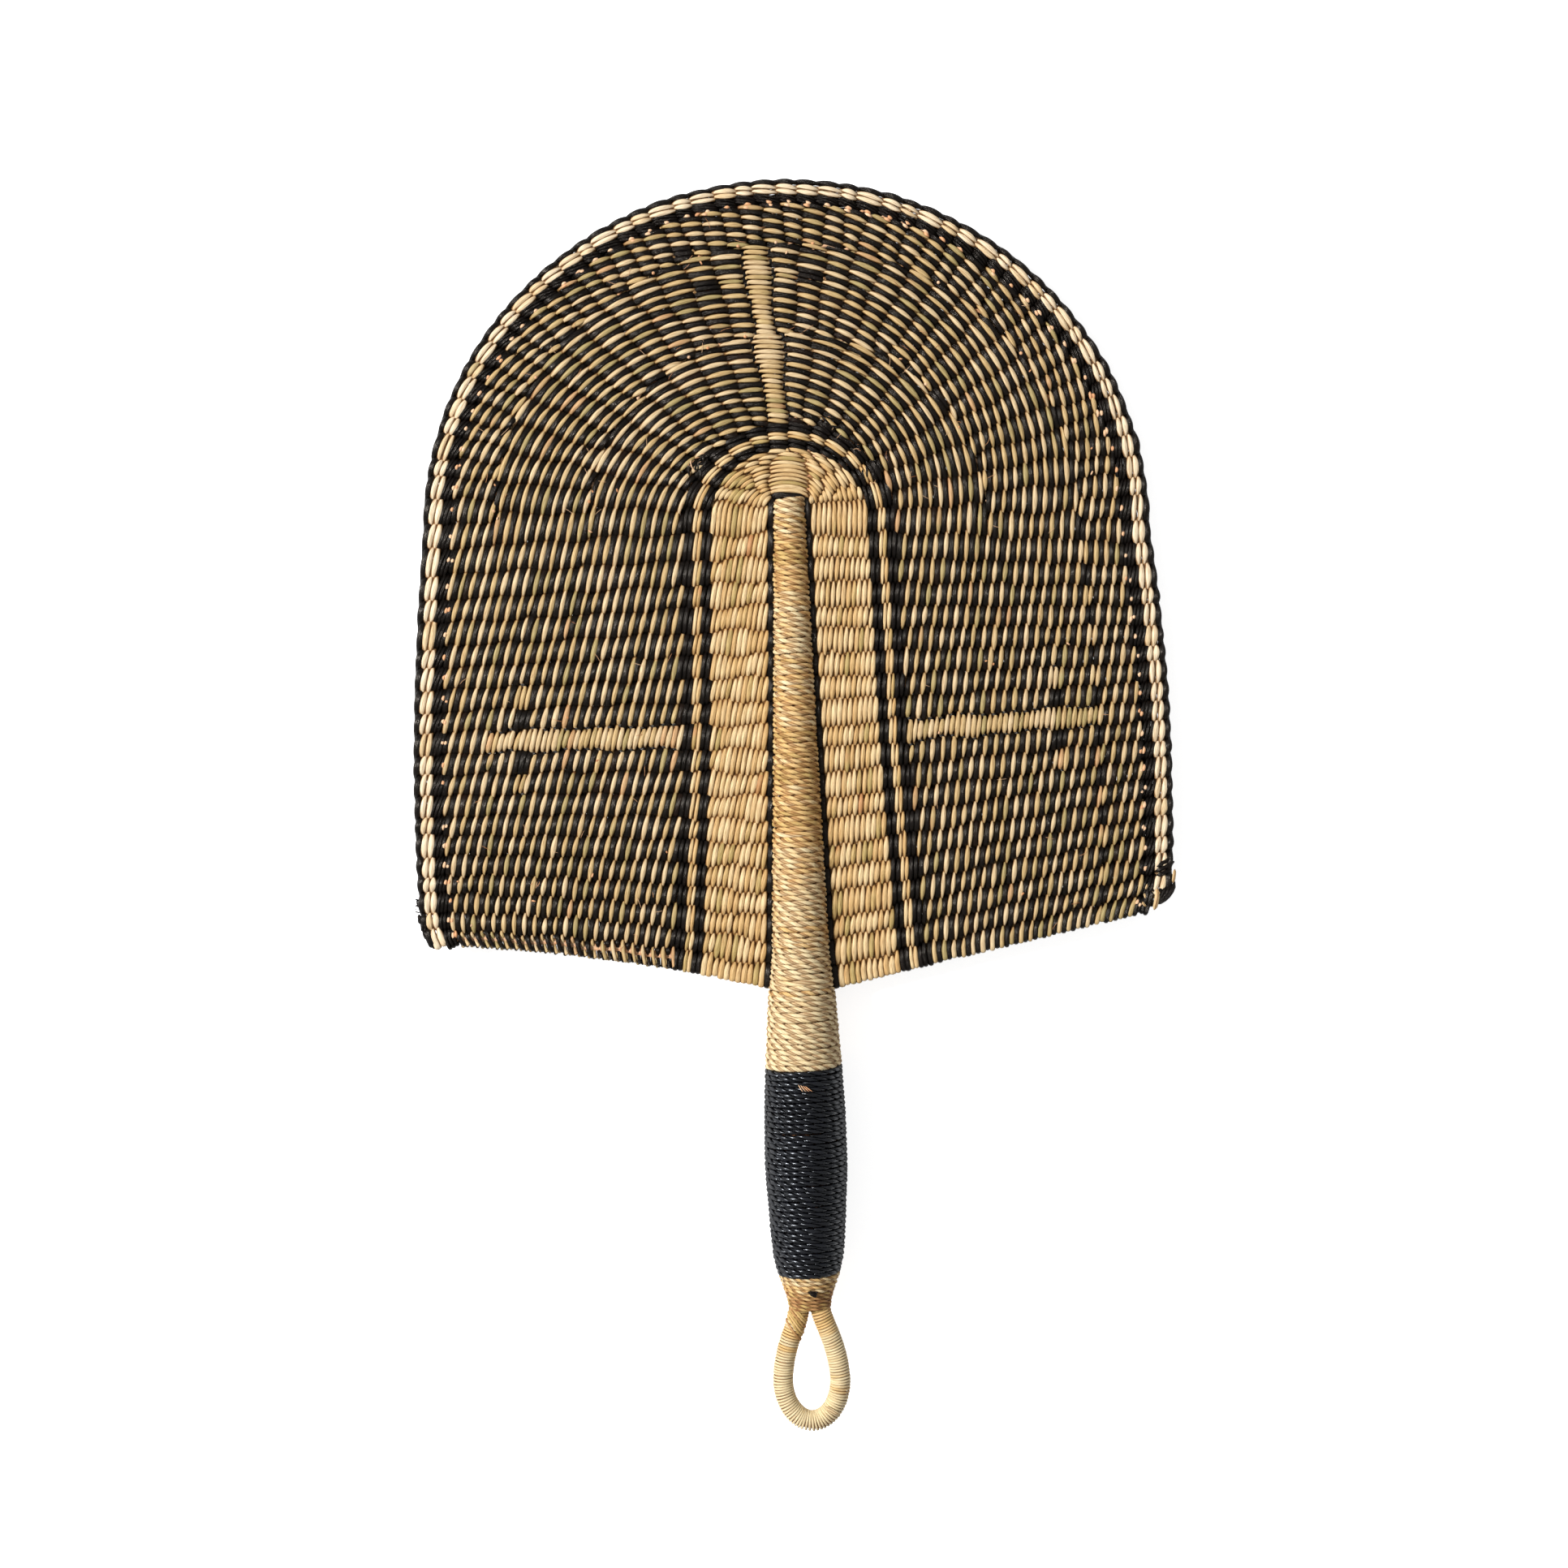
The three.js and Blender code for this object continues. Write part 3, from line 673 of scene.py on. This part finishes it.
# True where the natural strand lies in front. It does on every second stake, shifted by one
# from row to row, and on every row of the three bars. In one row the two stakes on either
# side of a bar change colours, and one more stitch beyond the bars is dark.
def fieldFront(row):
    zone = zoneOf(row)
    count = 2 * stakes["across"] + zone["all"] - 1
    front = (np.arange(count) + row) % 2 == 0
    top = stakes["across"] - 1 + zone["bar"]
    for middle, odd in ((bars["side"], 0), (count - 1 - bars["side"], 0), (top, 1)):
        if row == bars["motif"] + ((middle + bars["motif"]) % 2 == odd):
            for away in (-2, -1, 1, 2):
                front[middle + away] = not front[middle + away]
        if row in bars["rows"]:
            front[middle] = True
    if row == bars["patchRow"]:
        front[bars["patch"]] = False
    return front


naturalLook = {"lean": 0.32, "fill": (1.12, 1.12), "tone": 0.38, "vary": 0.18, "jitter": 0.16,
               "pitch": 1.6, "tip": (0.68, 0.68), "wander": 0.8}
fieldLook = {"lean": 0.38, "fill": (1.08, 1.04), "tone": 0.42, "vary": 0.22, "jitter": 0.16,
             "pitch": 1.7, "tip": (0.56, 0.98), "loose": True}
blackLook = {"lean": 0.3, "fill": (1.08, 1.08), "tone": 0.35, "vary": 0.15, "jitter": 0.1,
             "pitch": 1.6, "tip": (0.75, 0.75)}
pipingLook = dict(blackLook, lean=0.08, fill=(1.9, 1.9), tip=(0.95, 0.95), inwards=0.5)
waleLook = dict(blackLook, lean=0.27, fill=(1.05, 1.05), plies=3, tip=(0.9, 0.9), pitch=3.7, kept=0.8)
braidLook = dict(naturalLook, lean=0.12, fill=(1.14, 1.14), plies=2, tip=(0.6, 0.6), pitch=4.0,
                 tone=0.2, vary=0.1, kept=0.72, short=5.5)
edgeLook = dict(blackLook, lean=0.2, fill=(1.4, 1.4), tip=(0.6, 0.6), pitch=1.7, short=11.0)
borderStakes = 52
borderDome = (np.arange(borderStakes) + 0.5) / borderStakes
stripeDome = (np.arange(domeParts) + 0.5) / domeParts
rowPlaces = []


def keptRow(band, row, rows, domeBounds, front, look, even=True):
    bounds = rowBounds(domeBounds)
    if front is None:
        front = np.arange(len(bounds) - 1) % 2 == 0
    strands, places = twineRow(band, row, rows, bounds, front, look, even)
    rowPlaces.append(dict(places, band=band, row=row))
    return strands


# A band of plain rows, where the strands change places at every stake.
def plainBand(band, name, node, finish, look, domes, even=True):
    strands = []
    for row, dome in enumerate(domes):
        strands += keptRow(band, row, len(domes), dome, None, look, even)
    strandsMesh(name, strands, weave["sides"], finish, [node])


plainBand("piping", "spinePipingRow", "spine_piping_row", blackStraw, pipingLook,
          [stripeDome[[0, -1]]])
plainBand("inner", "naturalInnerRows", "natural_inner_rows", naturalStraw, naturalLook,
          [innerDome(row) for row in range(11)], False)
for band, name, node, finish, look in (
        ("blackInner", "blackStripeInner", "black_stripe_inner", blackStraw, blackLook),
        ("stripe", "naturalStripe", "natural_stripe", naturalStraw, naturalLook),
        ("blackOuter", "blackStripeOuter", "black_stripe_outer", blackStraw, blackLook)):
    plainBand(band, name, node, finish, look, [stripeDome] * 2)

field = [keptRow("field", row, fieldRows, fieldDome(row), fieldFront(row), fieldLook)
         for row in range(fieldRows)]
for part, rows in fieldParts.items():
    for strand, colour, (material, _) in ((0, "Natural", fieldStraw), (1, "Black", blackStraw)):
        strandsMesh(f"field{colour}{part}", [field[row][strand] for row in rows],
                    weave["sides"], (material, "two_tone_rows"), ["field_rows"])

for band, name, node, finish, look in (
        ("wale", "borderWale", "border_wale", blackStraw, waleLook),
        ("braid", "borderBraid", "border_braid", braidStraw, braidLook),
        ("edge", "borderEdgeRow", "border_edge_row", blackStraw, edgeLook)):
    plainBand(band, name, node, finish, look, [borderDome])
print("rows twined")

# Stakes

# A stake runs through the middle of its stitch in each row but the edge row. Where a zone
# begins, each goes on under the nearest new stitch, and the stitches left over get a new stake.
# Some of these start lifted out of the weave.
stake = {"half": 0.62, "past": 0.75, "lifted": [1.75, 1.2], "liftedShare": 0.4,
         "tipApart": 0.9, "lowest": (0.85, 1.75)}


def roundStrand(centre, half, tone, seed):
    return newStrand(centre, upwards, half, half, tone, seed)


def stakeTube(points, lifted=False):
    points = np.asarray(points, float)
    ends = unit(points[[0, -1]] - points[[1, -2]]) * stake["past"]
    points = np.concatenate([points[:1] + ends[:1], points, points[-1:] + ends[1:]])
    height = np.zeros(len(points))
    if lifted:
        height[:2] = stake["lifted"]
    tone = 0.4 + dice.normal(0, 0.15)
    return roundStrand(np.column_stack([points, height]), stake["half"], tone, dice.uniform(0, 90))


def domeIndex(band, row, share):
    if band == "field":
        zone = zoneOf(row)
        shares = zoneShare(zone, np.arange(zone["all"] + 1))
        return int(np.argmin(np.abs(shares - share)))
    return round(share * (borderStakes if band in outerBands else domeParts))


firstOver = stakes["across"] - 1
staked = [entry for entry in rowPlaces if entry["band"] != "edge"]
fieldPlaces = [entry for entry in rowPlaces if entry["band"] == "field"]


def overDome(entry, share):
    return entry["at"][firstOver + domeIndex(entry["band"], entry["row"], share)]


# Beside the spine a dome stake lies under its own stitch, or else close to its neighbours under
# the wide stitch.
def domeStakeAt(entry, number):
    if entry["band"] != "inner":
        return overDome(entry, number / domeParts)
    over = len(entry["at"]) - 2 * stakes["across"]
    beside = (over - 1) // 2
    fromRight = domeParts - number
    if number <= beside:
        return entry["at"][firstOver + number]
    if fromRight <= beside:
        return entry["at"][firstOver + over + 1 - fromRight]
    shift = np.array([number - domeParts / 2, 0]) * stake["tipApart"]
    return entry["at"][firstOver + beside + 1] + shift


def crossStakes():
    tubes = []
    for number in range(stakes["across"]):
        left = [entry["at"][number] for entry in staked]
        right = [entry["at"][len(entry["at"]) - 1 - number] for entry in staked]
        tubes.append(stakeTube(left[::-1] + right))
    return tubes


# Two more stakes show in the loose stitches at the lower left.
def lowStakes():
    return [stakeTube([at[0] + (at[1] - at[0]) / stakes["pitch"] * away
                       for at in (entry["at"] for entry in fieldPlaces[::-1])])
            for away in stake["lowest"]]


def addedStakes():
    shares = [number / domeParts for number in range(1, domeParts)]
    tubes = []
    for zone in fieldZones:
        used = {domeIndex("field", zone["first"], share) for share in shares}
        for place in [place for place in range(1, zone["all"]) if place not in used]:
            shares.append(float(zoneShare(zone, np.array(place))))
            points = [overDome(entry, shares[-1]) for entry in staked if entry["band"] in outerBands
                      or (entry["band"] == "field" and entry["row"] >= zone["first"])]
            lifted = zone["first"] > 0 and dice.uniform() < stake["liftedShare"]
            tubes.append(stakeTube(points, lifted))
    return tubes


crossTubes = crossStakes()
domeTubes = [stakeTube([domeStakeAt(entry, number) for entry in staked
                        if entry["band"] != "piping"]) for number in range(1, domeParts)]
crossTubes += lowStakes()
for name, tubes, start, count in (("crossStakes", crossTubes, "cross", stakes["across"]),
                                  ("domeStakes", domeTubes, "dome", stakes["dome"]),
                                  ("addedStakes", addedStakes(), "added", stakes["added"])):
    strandsMesh(name, tubes, 6, stakeStraw,
                [f"{start}_stake_{number + 1:02d}" for number in range(count)])


# Ends of the field's stakes lie bent along the inner edge of the border's dark row, up to two
# at each stake.
def borderEnds():
    entry = next(entry for entry in rowPlaces if entry["band"] == "wale")
    spread = np.linspace(-1, 1, 6)
    bend = 1 - spread ** 2
    strands = []
    for at, outward, pitch in zip(entry["at"], entry["outward"], entry["pitch"]):
        ahead = np.array([outward[1], -outward[0]])
        for side, leftOut in enumerate((0.1, 0.5)):
            if dice.uniform() < leftOut:
                continue
            base = at - outward * (pitch * 0.42 + 0.95 * side + dice.normal(0, 0.12))
            base = base + ahead * dice.normal(0.3, 0.35)
            half = 0.8 + abs(dice.normal(0, 0.25))
            flat = base + (ahead - outward * 0.25) * half * spread[:, None]
            height = 1.0 + 0.75 * bend + dice.normal(0, 0.06)
            strands.append(newStrand(np.column_stack([flat, height]), np.append(outward, 0),
                                     0.35 + 0.2 * bend, 0.4, dice.uniform(0, 0.6),
                                     dice.uniform(0, 90)))
    return strands


strandsMesh("borderStakeEnds", borderEnds(), 6, stakeStraw, [])
print("stakes set")

# Bindings of the handle

# A cord of two plies wound round the handle: its line is a screw on the handle's outline that
# starts at the back, and each ply is a screw round that line. The first four values are shares
# of the cord's width, and the last two count points along a turn and along a ply's lay.
plied = {"inside": 0.44, "apart": 0.22, "wide": 0.37, "thick": 0.26, "perTurn": 60, "perLay": 10}


def windCord(cord):
    wide, lay = cord["wide"], cord["lay"]
    turns = (cord["from"] - cord["to"]) / cord["pitch"]
    fine = np.linspace(0, turns, int(turns * plied["perTurn"]))
    y = cord["from"] - fine * cord["pitch"]
    radius = bindingRadius(y) - plied["inside"] * wide
    angle = 2 * np.pi * (fine - 0.25)
    deep = radius * np.interp(y, *cord.get("flat", ([0], [1])))
    line = np.stack([radius * np.cos(angle), y, deep * np.sin(angle)], -1)
    run = lengthAlong(line)
    places = np.linspace(0, run[-1], int(run[-1] / (lay / plied["perLay"])))
    line = along(line, run, places)
    line = line + drift(places, 9, 0.1)[:, None] * np.array([0, 1, 0])
    angle = np.interp(places, run, angle)
    out = np.stack([np.cos(angle), 0 * angle, np.sin(angle)], -1)
    ahead = unit(np.gradient(line, axis=0))
    side = np.cross(ahead, out)
    twist = 2 * np.pi * places / lay + drift(places, 24, 1.5)
    plies = []
    for ply in (0, 1):
        arm = np.cos(twist + np.pi * ply)[:, None] * out
        arm = arm + np.sin(twist + np.pi * ply)[:, None] * side
        size = wide * (1 + drift(places, 9, 0.08))
        tone = np.interp(line[:, 1], *cord["tones"]) + drift(places, 26, 0.15)
        plies.append(newStrand(line + arm * wide * plied["apart"], np.cross(ahead, arm),
                               size * plied["wide"], size * plied["thick"], tone, 5 * ply))
    return plies


# The tones follow the handle's heights, and the neck is drawn flat towards the loop. The palest
# tones, below the blade, are painted light; the others are the twine's own changes of colour.
spineTones = ([-29, -10, 10, 38, 60, 75, 92, 127, 140, 157],
              [0.02, 0.06, 0.12, 0.4, 0.54, 0.62, 0.42, 0.32, 0.56, 0.36])
spineCord = {"from": 159.7, "to": -25.6, "pitch": 1.7, "wide": 2.1, "lay": 9.4,
             "tones": spineTones}
gripCord = {"from": -25.6, "to": -91.8, "pitch": 1.66, "wide": 2.02, "lay": 8.0,
            "tones": ([0], [0.3])}
neckCord = {"from": -92.0, "to": -104.2, "pitch": 1.3, "wide": 1.5, "lay": 6.4,
            "tones": ([-104, -99, -96, -92], [1.0, 0.92, 0.5, 0.3]),
            "flat": ([-104, -102, -98], [0.56, 0.72, 1])}
for name, node, cord, finish in (("spineBinding", "spine_binding", spineCord, naturalTwine),
                                 ("gripBinding", "grip_binding", gripCord, blackTwine),
                                 ("neckBinding", "neck_binding", neckCord, naturalTwine)):
    strandsMesh(name, windCord(cord), 8, finish, [node], True)

# Loose ends and fibres

# A value itself, or one drawn from a range in round brackets or about a mean in square ones.
def drawn(value):
    if isinstance(value, tuple):
        return dice.uniform(*value)
    return dice.normal(*value) if isinstance(value, list) else value


# A bent fibre: it starts at a place, runs in a direction that turns steadily, and rises by a
# parabola over its length. Angles are in degrees.
def fibre(place, heading, length, turn, height, lift, half, tone):
    heading, length, turn, half, tone = map(drawn, (heading, length, turn, half, tone))
    t = np.linspace(0, 1, 7)
    angle = math.radians(heading) + math.radians(turn) * t
    step = np.stack([np.cos(angle), np.sin(angle)], -1) * length / 6
    flat = np.array(place) + np.concatenate([[[0, 0]], np.cumsum(step[1:], axis=0)])
    rise = height + 4 * lift * t * (1 - t)
    thin = half * np.sqrt(np.maximum(1 - (2 * t - 1) ** 6, 0.1))
    return roundStrand(np.column_stack([flat, rise]), thin, tone, dice.uniform(0, 90))


# Fine hairs and small broken bits all over the blade: every third one lies where stakes were
# added, and every fifth one is a bit.
def looseFibres():
    strands = []
    for number in range(120):
        row = int(dice.integers(1, fieldRows - 1))
        atZone = number % 3 == 0
        if atZone:
            zoneRow = dice.choice([zone["first"] for zone in fieldZones[1:]])
            row = int(np.clip(round(zoneRow + dice.normal(0, 1.2)), 0, fieldRows - 1))
        at = fieldPlaces[row]["at"]
        low, high = (firstOver, len(at) - stakes["across"] - 1) if atZone else (0, len(at))
        place = at[int(dice.integers(low, high))] + dice.normal(0, 1.5, 2)
        bit = number % 5 == 0
        height, half = (1.6, 0.28) if bit else (1.8, 0.06)
        length = drawn((0.8, 1.6) if bit else (1.5, 4.5))
        strands.append(fibre(place, (0, 360), length, [0, 30], height, 0.3, half, (0, 0.9)))
    return strands


# Tufts of broken ends: place, count, spread and half width. One longer fibre curls out of the
# first.
tufts = [(-35.5, 170.5, 4, 2.4, 0.08), (-31.0, 174.0, 3, 2.0, 0.1), (11.0, 182.0, 3, 2.4, 0.07),
         (19.0, 175.5, 3, 2.0, 0.07), (23.5, 165.0, 2, 1.6, 0.07), (-86.0, 34.0, 3, 1.0, 0.1)]


def tuftFibres():
    strands = [fibre(np.array([x, y]) + dice.normal(0, spread * 0.6, 2), (0, 360), (0.8, 2.4),
                     [0, 30], 1.7, 0.3, half, (0, 0.9))
               for x, y, count, spread, half in tufts for _ in range(count)]
    return strands + [fibre((-35.4, 172.3), -115, 4.6, 80, 1.9, 0.5, 0.2, 0.1)]


# Dark ends: a frayed edge and thick ends at the lower left corner, and bits that cross the
# stripe near the tufts.
dark = {"frayX": -124.0, "fray": (24, 29), "cornerX": -124.4, "corner": (13.5, 23),
        "slope": 0.42, "tone": 0.3}


def darkEnds():
    strands = []
    for _ in range(12):
        place = (dark["frayX"] + dice.normal(0, 0.4), drawn(dark["fray"]))
        strands.append(fibre(place, (150, 230), (0.7, 1.7), [0, 30], 0.2, 0.3, (0.1, 0.3),
                             dark["tone"]))
    for _ in range(9):
        y = drawn(dark["corner"])
        x = dark["cornerX"] + dark["slope"] * (dark["corner"][1] - y) + dice.normal(0, 0.5)
        strands.append(fibre((x, y + 1), (-95, -45), (1.8, 3.2), [0, 25], 0.7, 0.5, (0.4, 0.75),
                             dark["tone"]))
    for x, y, _, spread, _ in tufts[:5]:
        for _ in range(4):
            place = np.array([x, y]) + dice.normal(0, spread * 0.7, 2)
            heading = math.degrees(math.atan2(y - 158, x)) + 90
            strands.append(fibre(place, [heading, 22], (3, 5), [0, 20], 1.45, 0.3, 0.42, dark["tone"]))
    return strands


# The lower right corner: dark strands cross the braid, and others turn round the corner beside
# a pale one. Each row holds a start, a heading, a length, a turn and a half width.
cornerDark = [(115.8, 37.6, 24, 7.2, 6, 0.8), (115.6, 39.0, 26, 7.0, 6, 0.8),
              (116.2, 36.2, 20, 5.6, 6, 0.7), (122.3, 34.4, -94, 10.2, -64, 0.85),
              (121.0, 34.0, -97, 9.4, -55, 0.85), (119.5, 33.6, -99, 8.6, -45, 0.85),
              (118.1, 33.0, -100, 7.6, -30, 0.85), (115.2, 32.6, -98, 7.4, -12, 0.85),
              (113.8, 33.0, -98, 7.6, -12, 0.85)]
cornerPale = [(116.8, 32.0, -96, 6.8, -8, 0.9), (113.4, 33.6, -120, 1.8, 20, 0.4),
              (112.4, 30.6, -90, 1.9, 30, 0.45), (111.6, 28.0, -70, 2.2, 30, 0.45),
              (122.3, 38.4, -98, 4.4, 0, 0.6)]


def cornerStrands(rows, height):
    return [fibre((x, y), heading, length, turn, height, 0.55, half, 0.25)
            for x, y, heading, length, turn, half in rows]


# Ends on the outside of the handle's bindings: a pale one of four fibres on the grip, one of
# two on the loop, and a dark one of three at the neck.
def handleEnds():
    pale = [fibre((-1.9 + 0.75 * k, -29.4 - 0.2 * k), -64 + 7 * k, 2.8, 10, 13.4, 0.5, 0.17,
                  0.1 + 0.15 * k) for k in range(4)]
    loopEnds = [fibre((4.2 + 0.5 * k, -134.4 - 1.0 * k), -20, 5.4 - 1.6 * k, -20, 3.1, 0.5,
                      0.5, 0.1) for k in range(2)]
    neck = [fibre((-0.7 + 0.45 * k, -96.5 - 0.38 * k), 4 - 9 * k, 3.4 - 0.6 * k, -12, 8.3, 0.4,
                  0.42, dark["tone"]) for k in range(3)]
    return pale, loopEnds, neck


strandsMesh("looseFibres", looseFibres() + tuftFibres(), 5, stakeStraw, [])
strandsMesh("darkEnds", darkEnds() + cornerStrands(cornerDark, 0.9), 6, blackStraw, [])
strandsMesh("cornerPaleEnds", cornerStrands(cornerPale, 1.25), 6, naturalStraw, [])
for name, strands, finish in zip(("gripPaleEnd", "loopPaleEnd", "neckDarkEnd"), handleEnds(),
                                 (stakeStraw, naturalTwine, blackStraw)):
    strandsMesh(name, strands, 6, finish, [], True)
print("loose ends laid")

# Hanging loop

# The loop's line: a cubic curve down each leg and a half ellipse between them. The wrap is
# darker towards the throat.
loop = {"leg": 3.0, "throat": -101.0, "half": 9.3, "centre": -126.5, "deep": 13.2,
        "bends": [(0.2, -6), (0.5, 12.5)], "cord": 2.4, "cordTone": 0.8}
wrap = {"lying": 2.98, "pitch": 0.88, "perTurn": 16, "half": 0.44, "thick": 0.38, "tone": 0.1,
        "darker": 0.7, "darkOver": 9}


def loopLine():
    t = np.linspace(0, 1, 120)[:, None]
    top, low = np.array([[-loop["leg"], loop["throat"]], [-loop["half"], loop["centre"]]])
    belowTop, aboveLow = np.array([top, low]) + loop["bends"]
    left = ((1 - t) ** 3 * top + 3 * (1 - t) ** 2 * t * belowTop
            + 3 * (1 - t) * t ** 2 * aboveLow + t ** 3 * low)
    angle = np.linspace(np.pi, 2 * np.pi, 120)[1:-1]
    bottom = np.stack([loop["half"] * np.cos(angle), loop["centre"] + loop["deep"] * np.sin(angle)], -1)
    return np.concatenate([left, bottom, left[::-1] * np.array([-1, 1])])


loopPath = loopLine()
loopRun = lengthAlong(loopPath)


def loopFlat(places):
    return along(loopPath, loopRun, places)


def loopCord():
    flat = loopFlat(np.linspace(0, loopRun[-1], 90))
    return [roundStrand(np.column_stack([flat, np.zeros(90)]), loop["cord"], loop["cordTone"], 1.0)]


def wrapLoop():
    count = int(loopRun[-1] / wrap["pitch"] * wrap["perTurn"])
    places = np.linspace(0, loopRun[-1], count)
    flat = np.column_stack([loopFlat(places), np.zeros(count)])
    ahead = unit(np.gradient(flat, axis=0))
    inward = np.column_stack([leftOf(ahead), 0 * places])
    angle = 2 * np.pi * places / wrap["pitch"]
    out = np.cos(angle)[:, None] * inward + np.sin(angle)[:, None] * upwards
    uneven = drift(places, 1.6, 0.075)[:, None] * ahead
    high = np.minimum(places, loopRun[-1] - places)
    tone = wrap["tone"] + wrap["darker"] * np.exp(-high / wrap["darkOver"])
    tone = tone + drift(places, 12, 0.12)
    thick = wrap["thick"] + drift(places, 0.9, 0.03)
    tone = tone + drift(places, 1.3, 0.14)
    return [newStrand(flat + out * wrap["lying"] + uneven, ahead, wrap["half"], thick, tone, 3.0)]


# Where the left leg comes out of the throat, a few turns run slantwise round it: along the leg
# each point is shifted by a share of how far inwards it lies.
slanting = {"count": 7, "size": 3.2, "first": 3.2, "step": 1.05, "share": 0.7}


def slantWraps():
    turn = np.linspace(0, 2 * np.pi, 28)
    wraps = []
    for number in range(slanting["count"]):
        size = slanting["size"] + dice.normal(0, 0.07)
        start = slanting["first"] + slanting["step"] * number + dice.normal(0, 0.12)
        places = start + slanting["share"] * size * np.cos(turn)
        ahead = unit(loopFlat(places + 0.1) - loopFlat(places - 0.1))
        flat = loopFlat(places) + size * np.cos(turn)[:, None] * leftOf(ahead)
        wraps.append(newStrand(np.column_stack([flat, size * np.sin(turn)]),
                               np.column_stack([ahead, 0 * turn]), 0.42, 0.36,
                               0.62 + dice.normal(0, 0.15), dice.uniform(0, 90)))
    return wraps


coreFinish = (stakeStraw[0], "core_bundle")
strandsMesh("loopCord", loopCord(), 10, coreFinish, ["loop_cord"], True)
strandsMesh("loopWrap", wrapLoop() + slantWraps(), 6, naturalTwine, ["loop_wrap"], True)
print("bindings and loop wound")


# The core under the binding keeps its solid, with the grain of a straw bundle along it. Its
# colour is darker than the straw's, as painted shade where it shows between the binding's turns.
def coreStraw():
    material, tree, shader = newMaterial("coreStraw")
    place = newNode(tree, "TexCoord", {}).outputs["Object"]
    stretch = newNode(tree, "Mapping", {"Vector": place, "Scale": (900, 30, 900)})
    vector = stretch.outputs["Vector"]
    grain = newNode(tree, "TexNoise", {"Vector": vector, "Scale": 1.0}).outputs["Fac"]
    colour = newNode(tree, "ValToRGB", {"Fac": grain})
    colour.color_ramp.elements[0].color = seen(84, 46, 18)
    colour.color_ramp.elements[1].color = seen(138, 90, 42)
    relief = newNode(tree, "Bump", {"Distance": 0.0004, "Height": grain})
    fill(tree, shader, {"Base Color": colour.outputs["Color"], "Roughness": 0.7,
                        "Normal": relief.outputs["Normal"]})
    return material


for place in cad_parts["handle_core"].material_slots:
    place.material = coreStraw()

# Floor and light

studio = {"floor": 0.9, "size": 6.0, "below": 0.0002, "glow": 0.77, "world": 0.34, "key": 88.0,
          "keyPlace": (-1.75, 0.65, 1.75), "keyTarget": (0, 0.02, 0), "keySize": 0.6}


def cameraRay(tree):
    return newNode(tree, "LightPath", {}).outputs["Is Camera Ray"]


def addFloor():
    mesh = bpy.data.meshes.new("studioFloor")
    size = studio["size"]
    mesh.from_pydata([(-size, -size, 0), (size, -size, 0), (size, size, 0), (-size, size, 0)],
                     [], [(0, 1, 2, 3)])
    floor = addObject("studioFloor", mesh)
    floor.location.z = -studio["below"]
    material, tree, shader = newMaterial("studioFloor")
    fill(tree, shader, {
        "Base Color": (*[studio["floor"]] * 3, 1), "Roughness": 0.9, "Specular IOR Level": 0.0,
        "Emission Color": white,
        "Emission Strength": reckon(tree, "MULTIPLY", cameraRay(tree), studio["glow"])})
    mesh.materials.append(material)


# The world is white to the camera beyond the floor, and lights the fan more softly.
def addWorld():
    world = bpy.data.worlds.new("studio")
    bpy.context.scene.world = world
    world.use_nodes = True
    tree = world.node_tree
    strength = reckon(tree, "MULTIPLY_ADD", cameraRay(tree), 1 - studio["world"], studio["world"])
    fill(tree, tree.nodes["Background"], {"Color": white, "Strength": strength})


def addKeyLight():
    lamp = bpy.data.lights.new("keyLight", "AREA")
    lamp.shape = "DISK"
    lamp.size = studio["keySize"]
    lamp.energy = studio["key"]
    key = addObject("keyLight", lamp)
    key.location = studio["keyPlace"]
    towards = Vector(studio["keyTarget"]) - key.location
    key.rotation_euler = towards.to_track_quat("-Z", "Y").to_euler()


addFloor()
addWorld()
addKeyLight()
bpy.context.scene.view_settings.view_transform = "Standard"
print("floor and lights set")
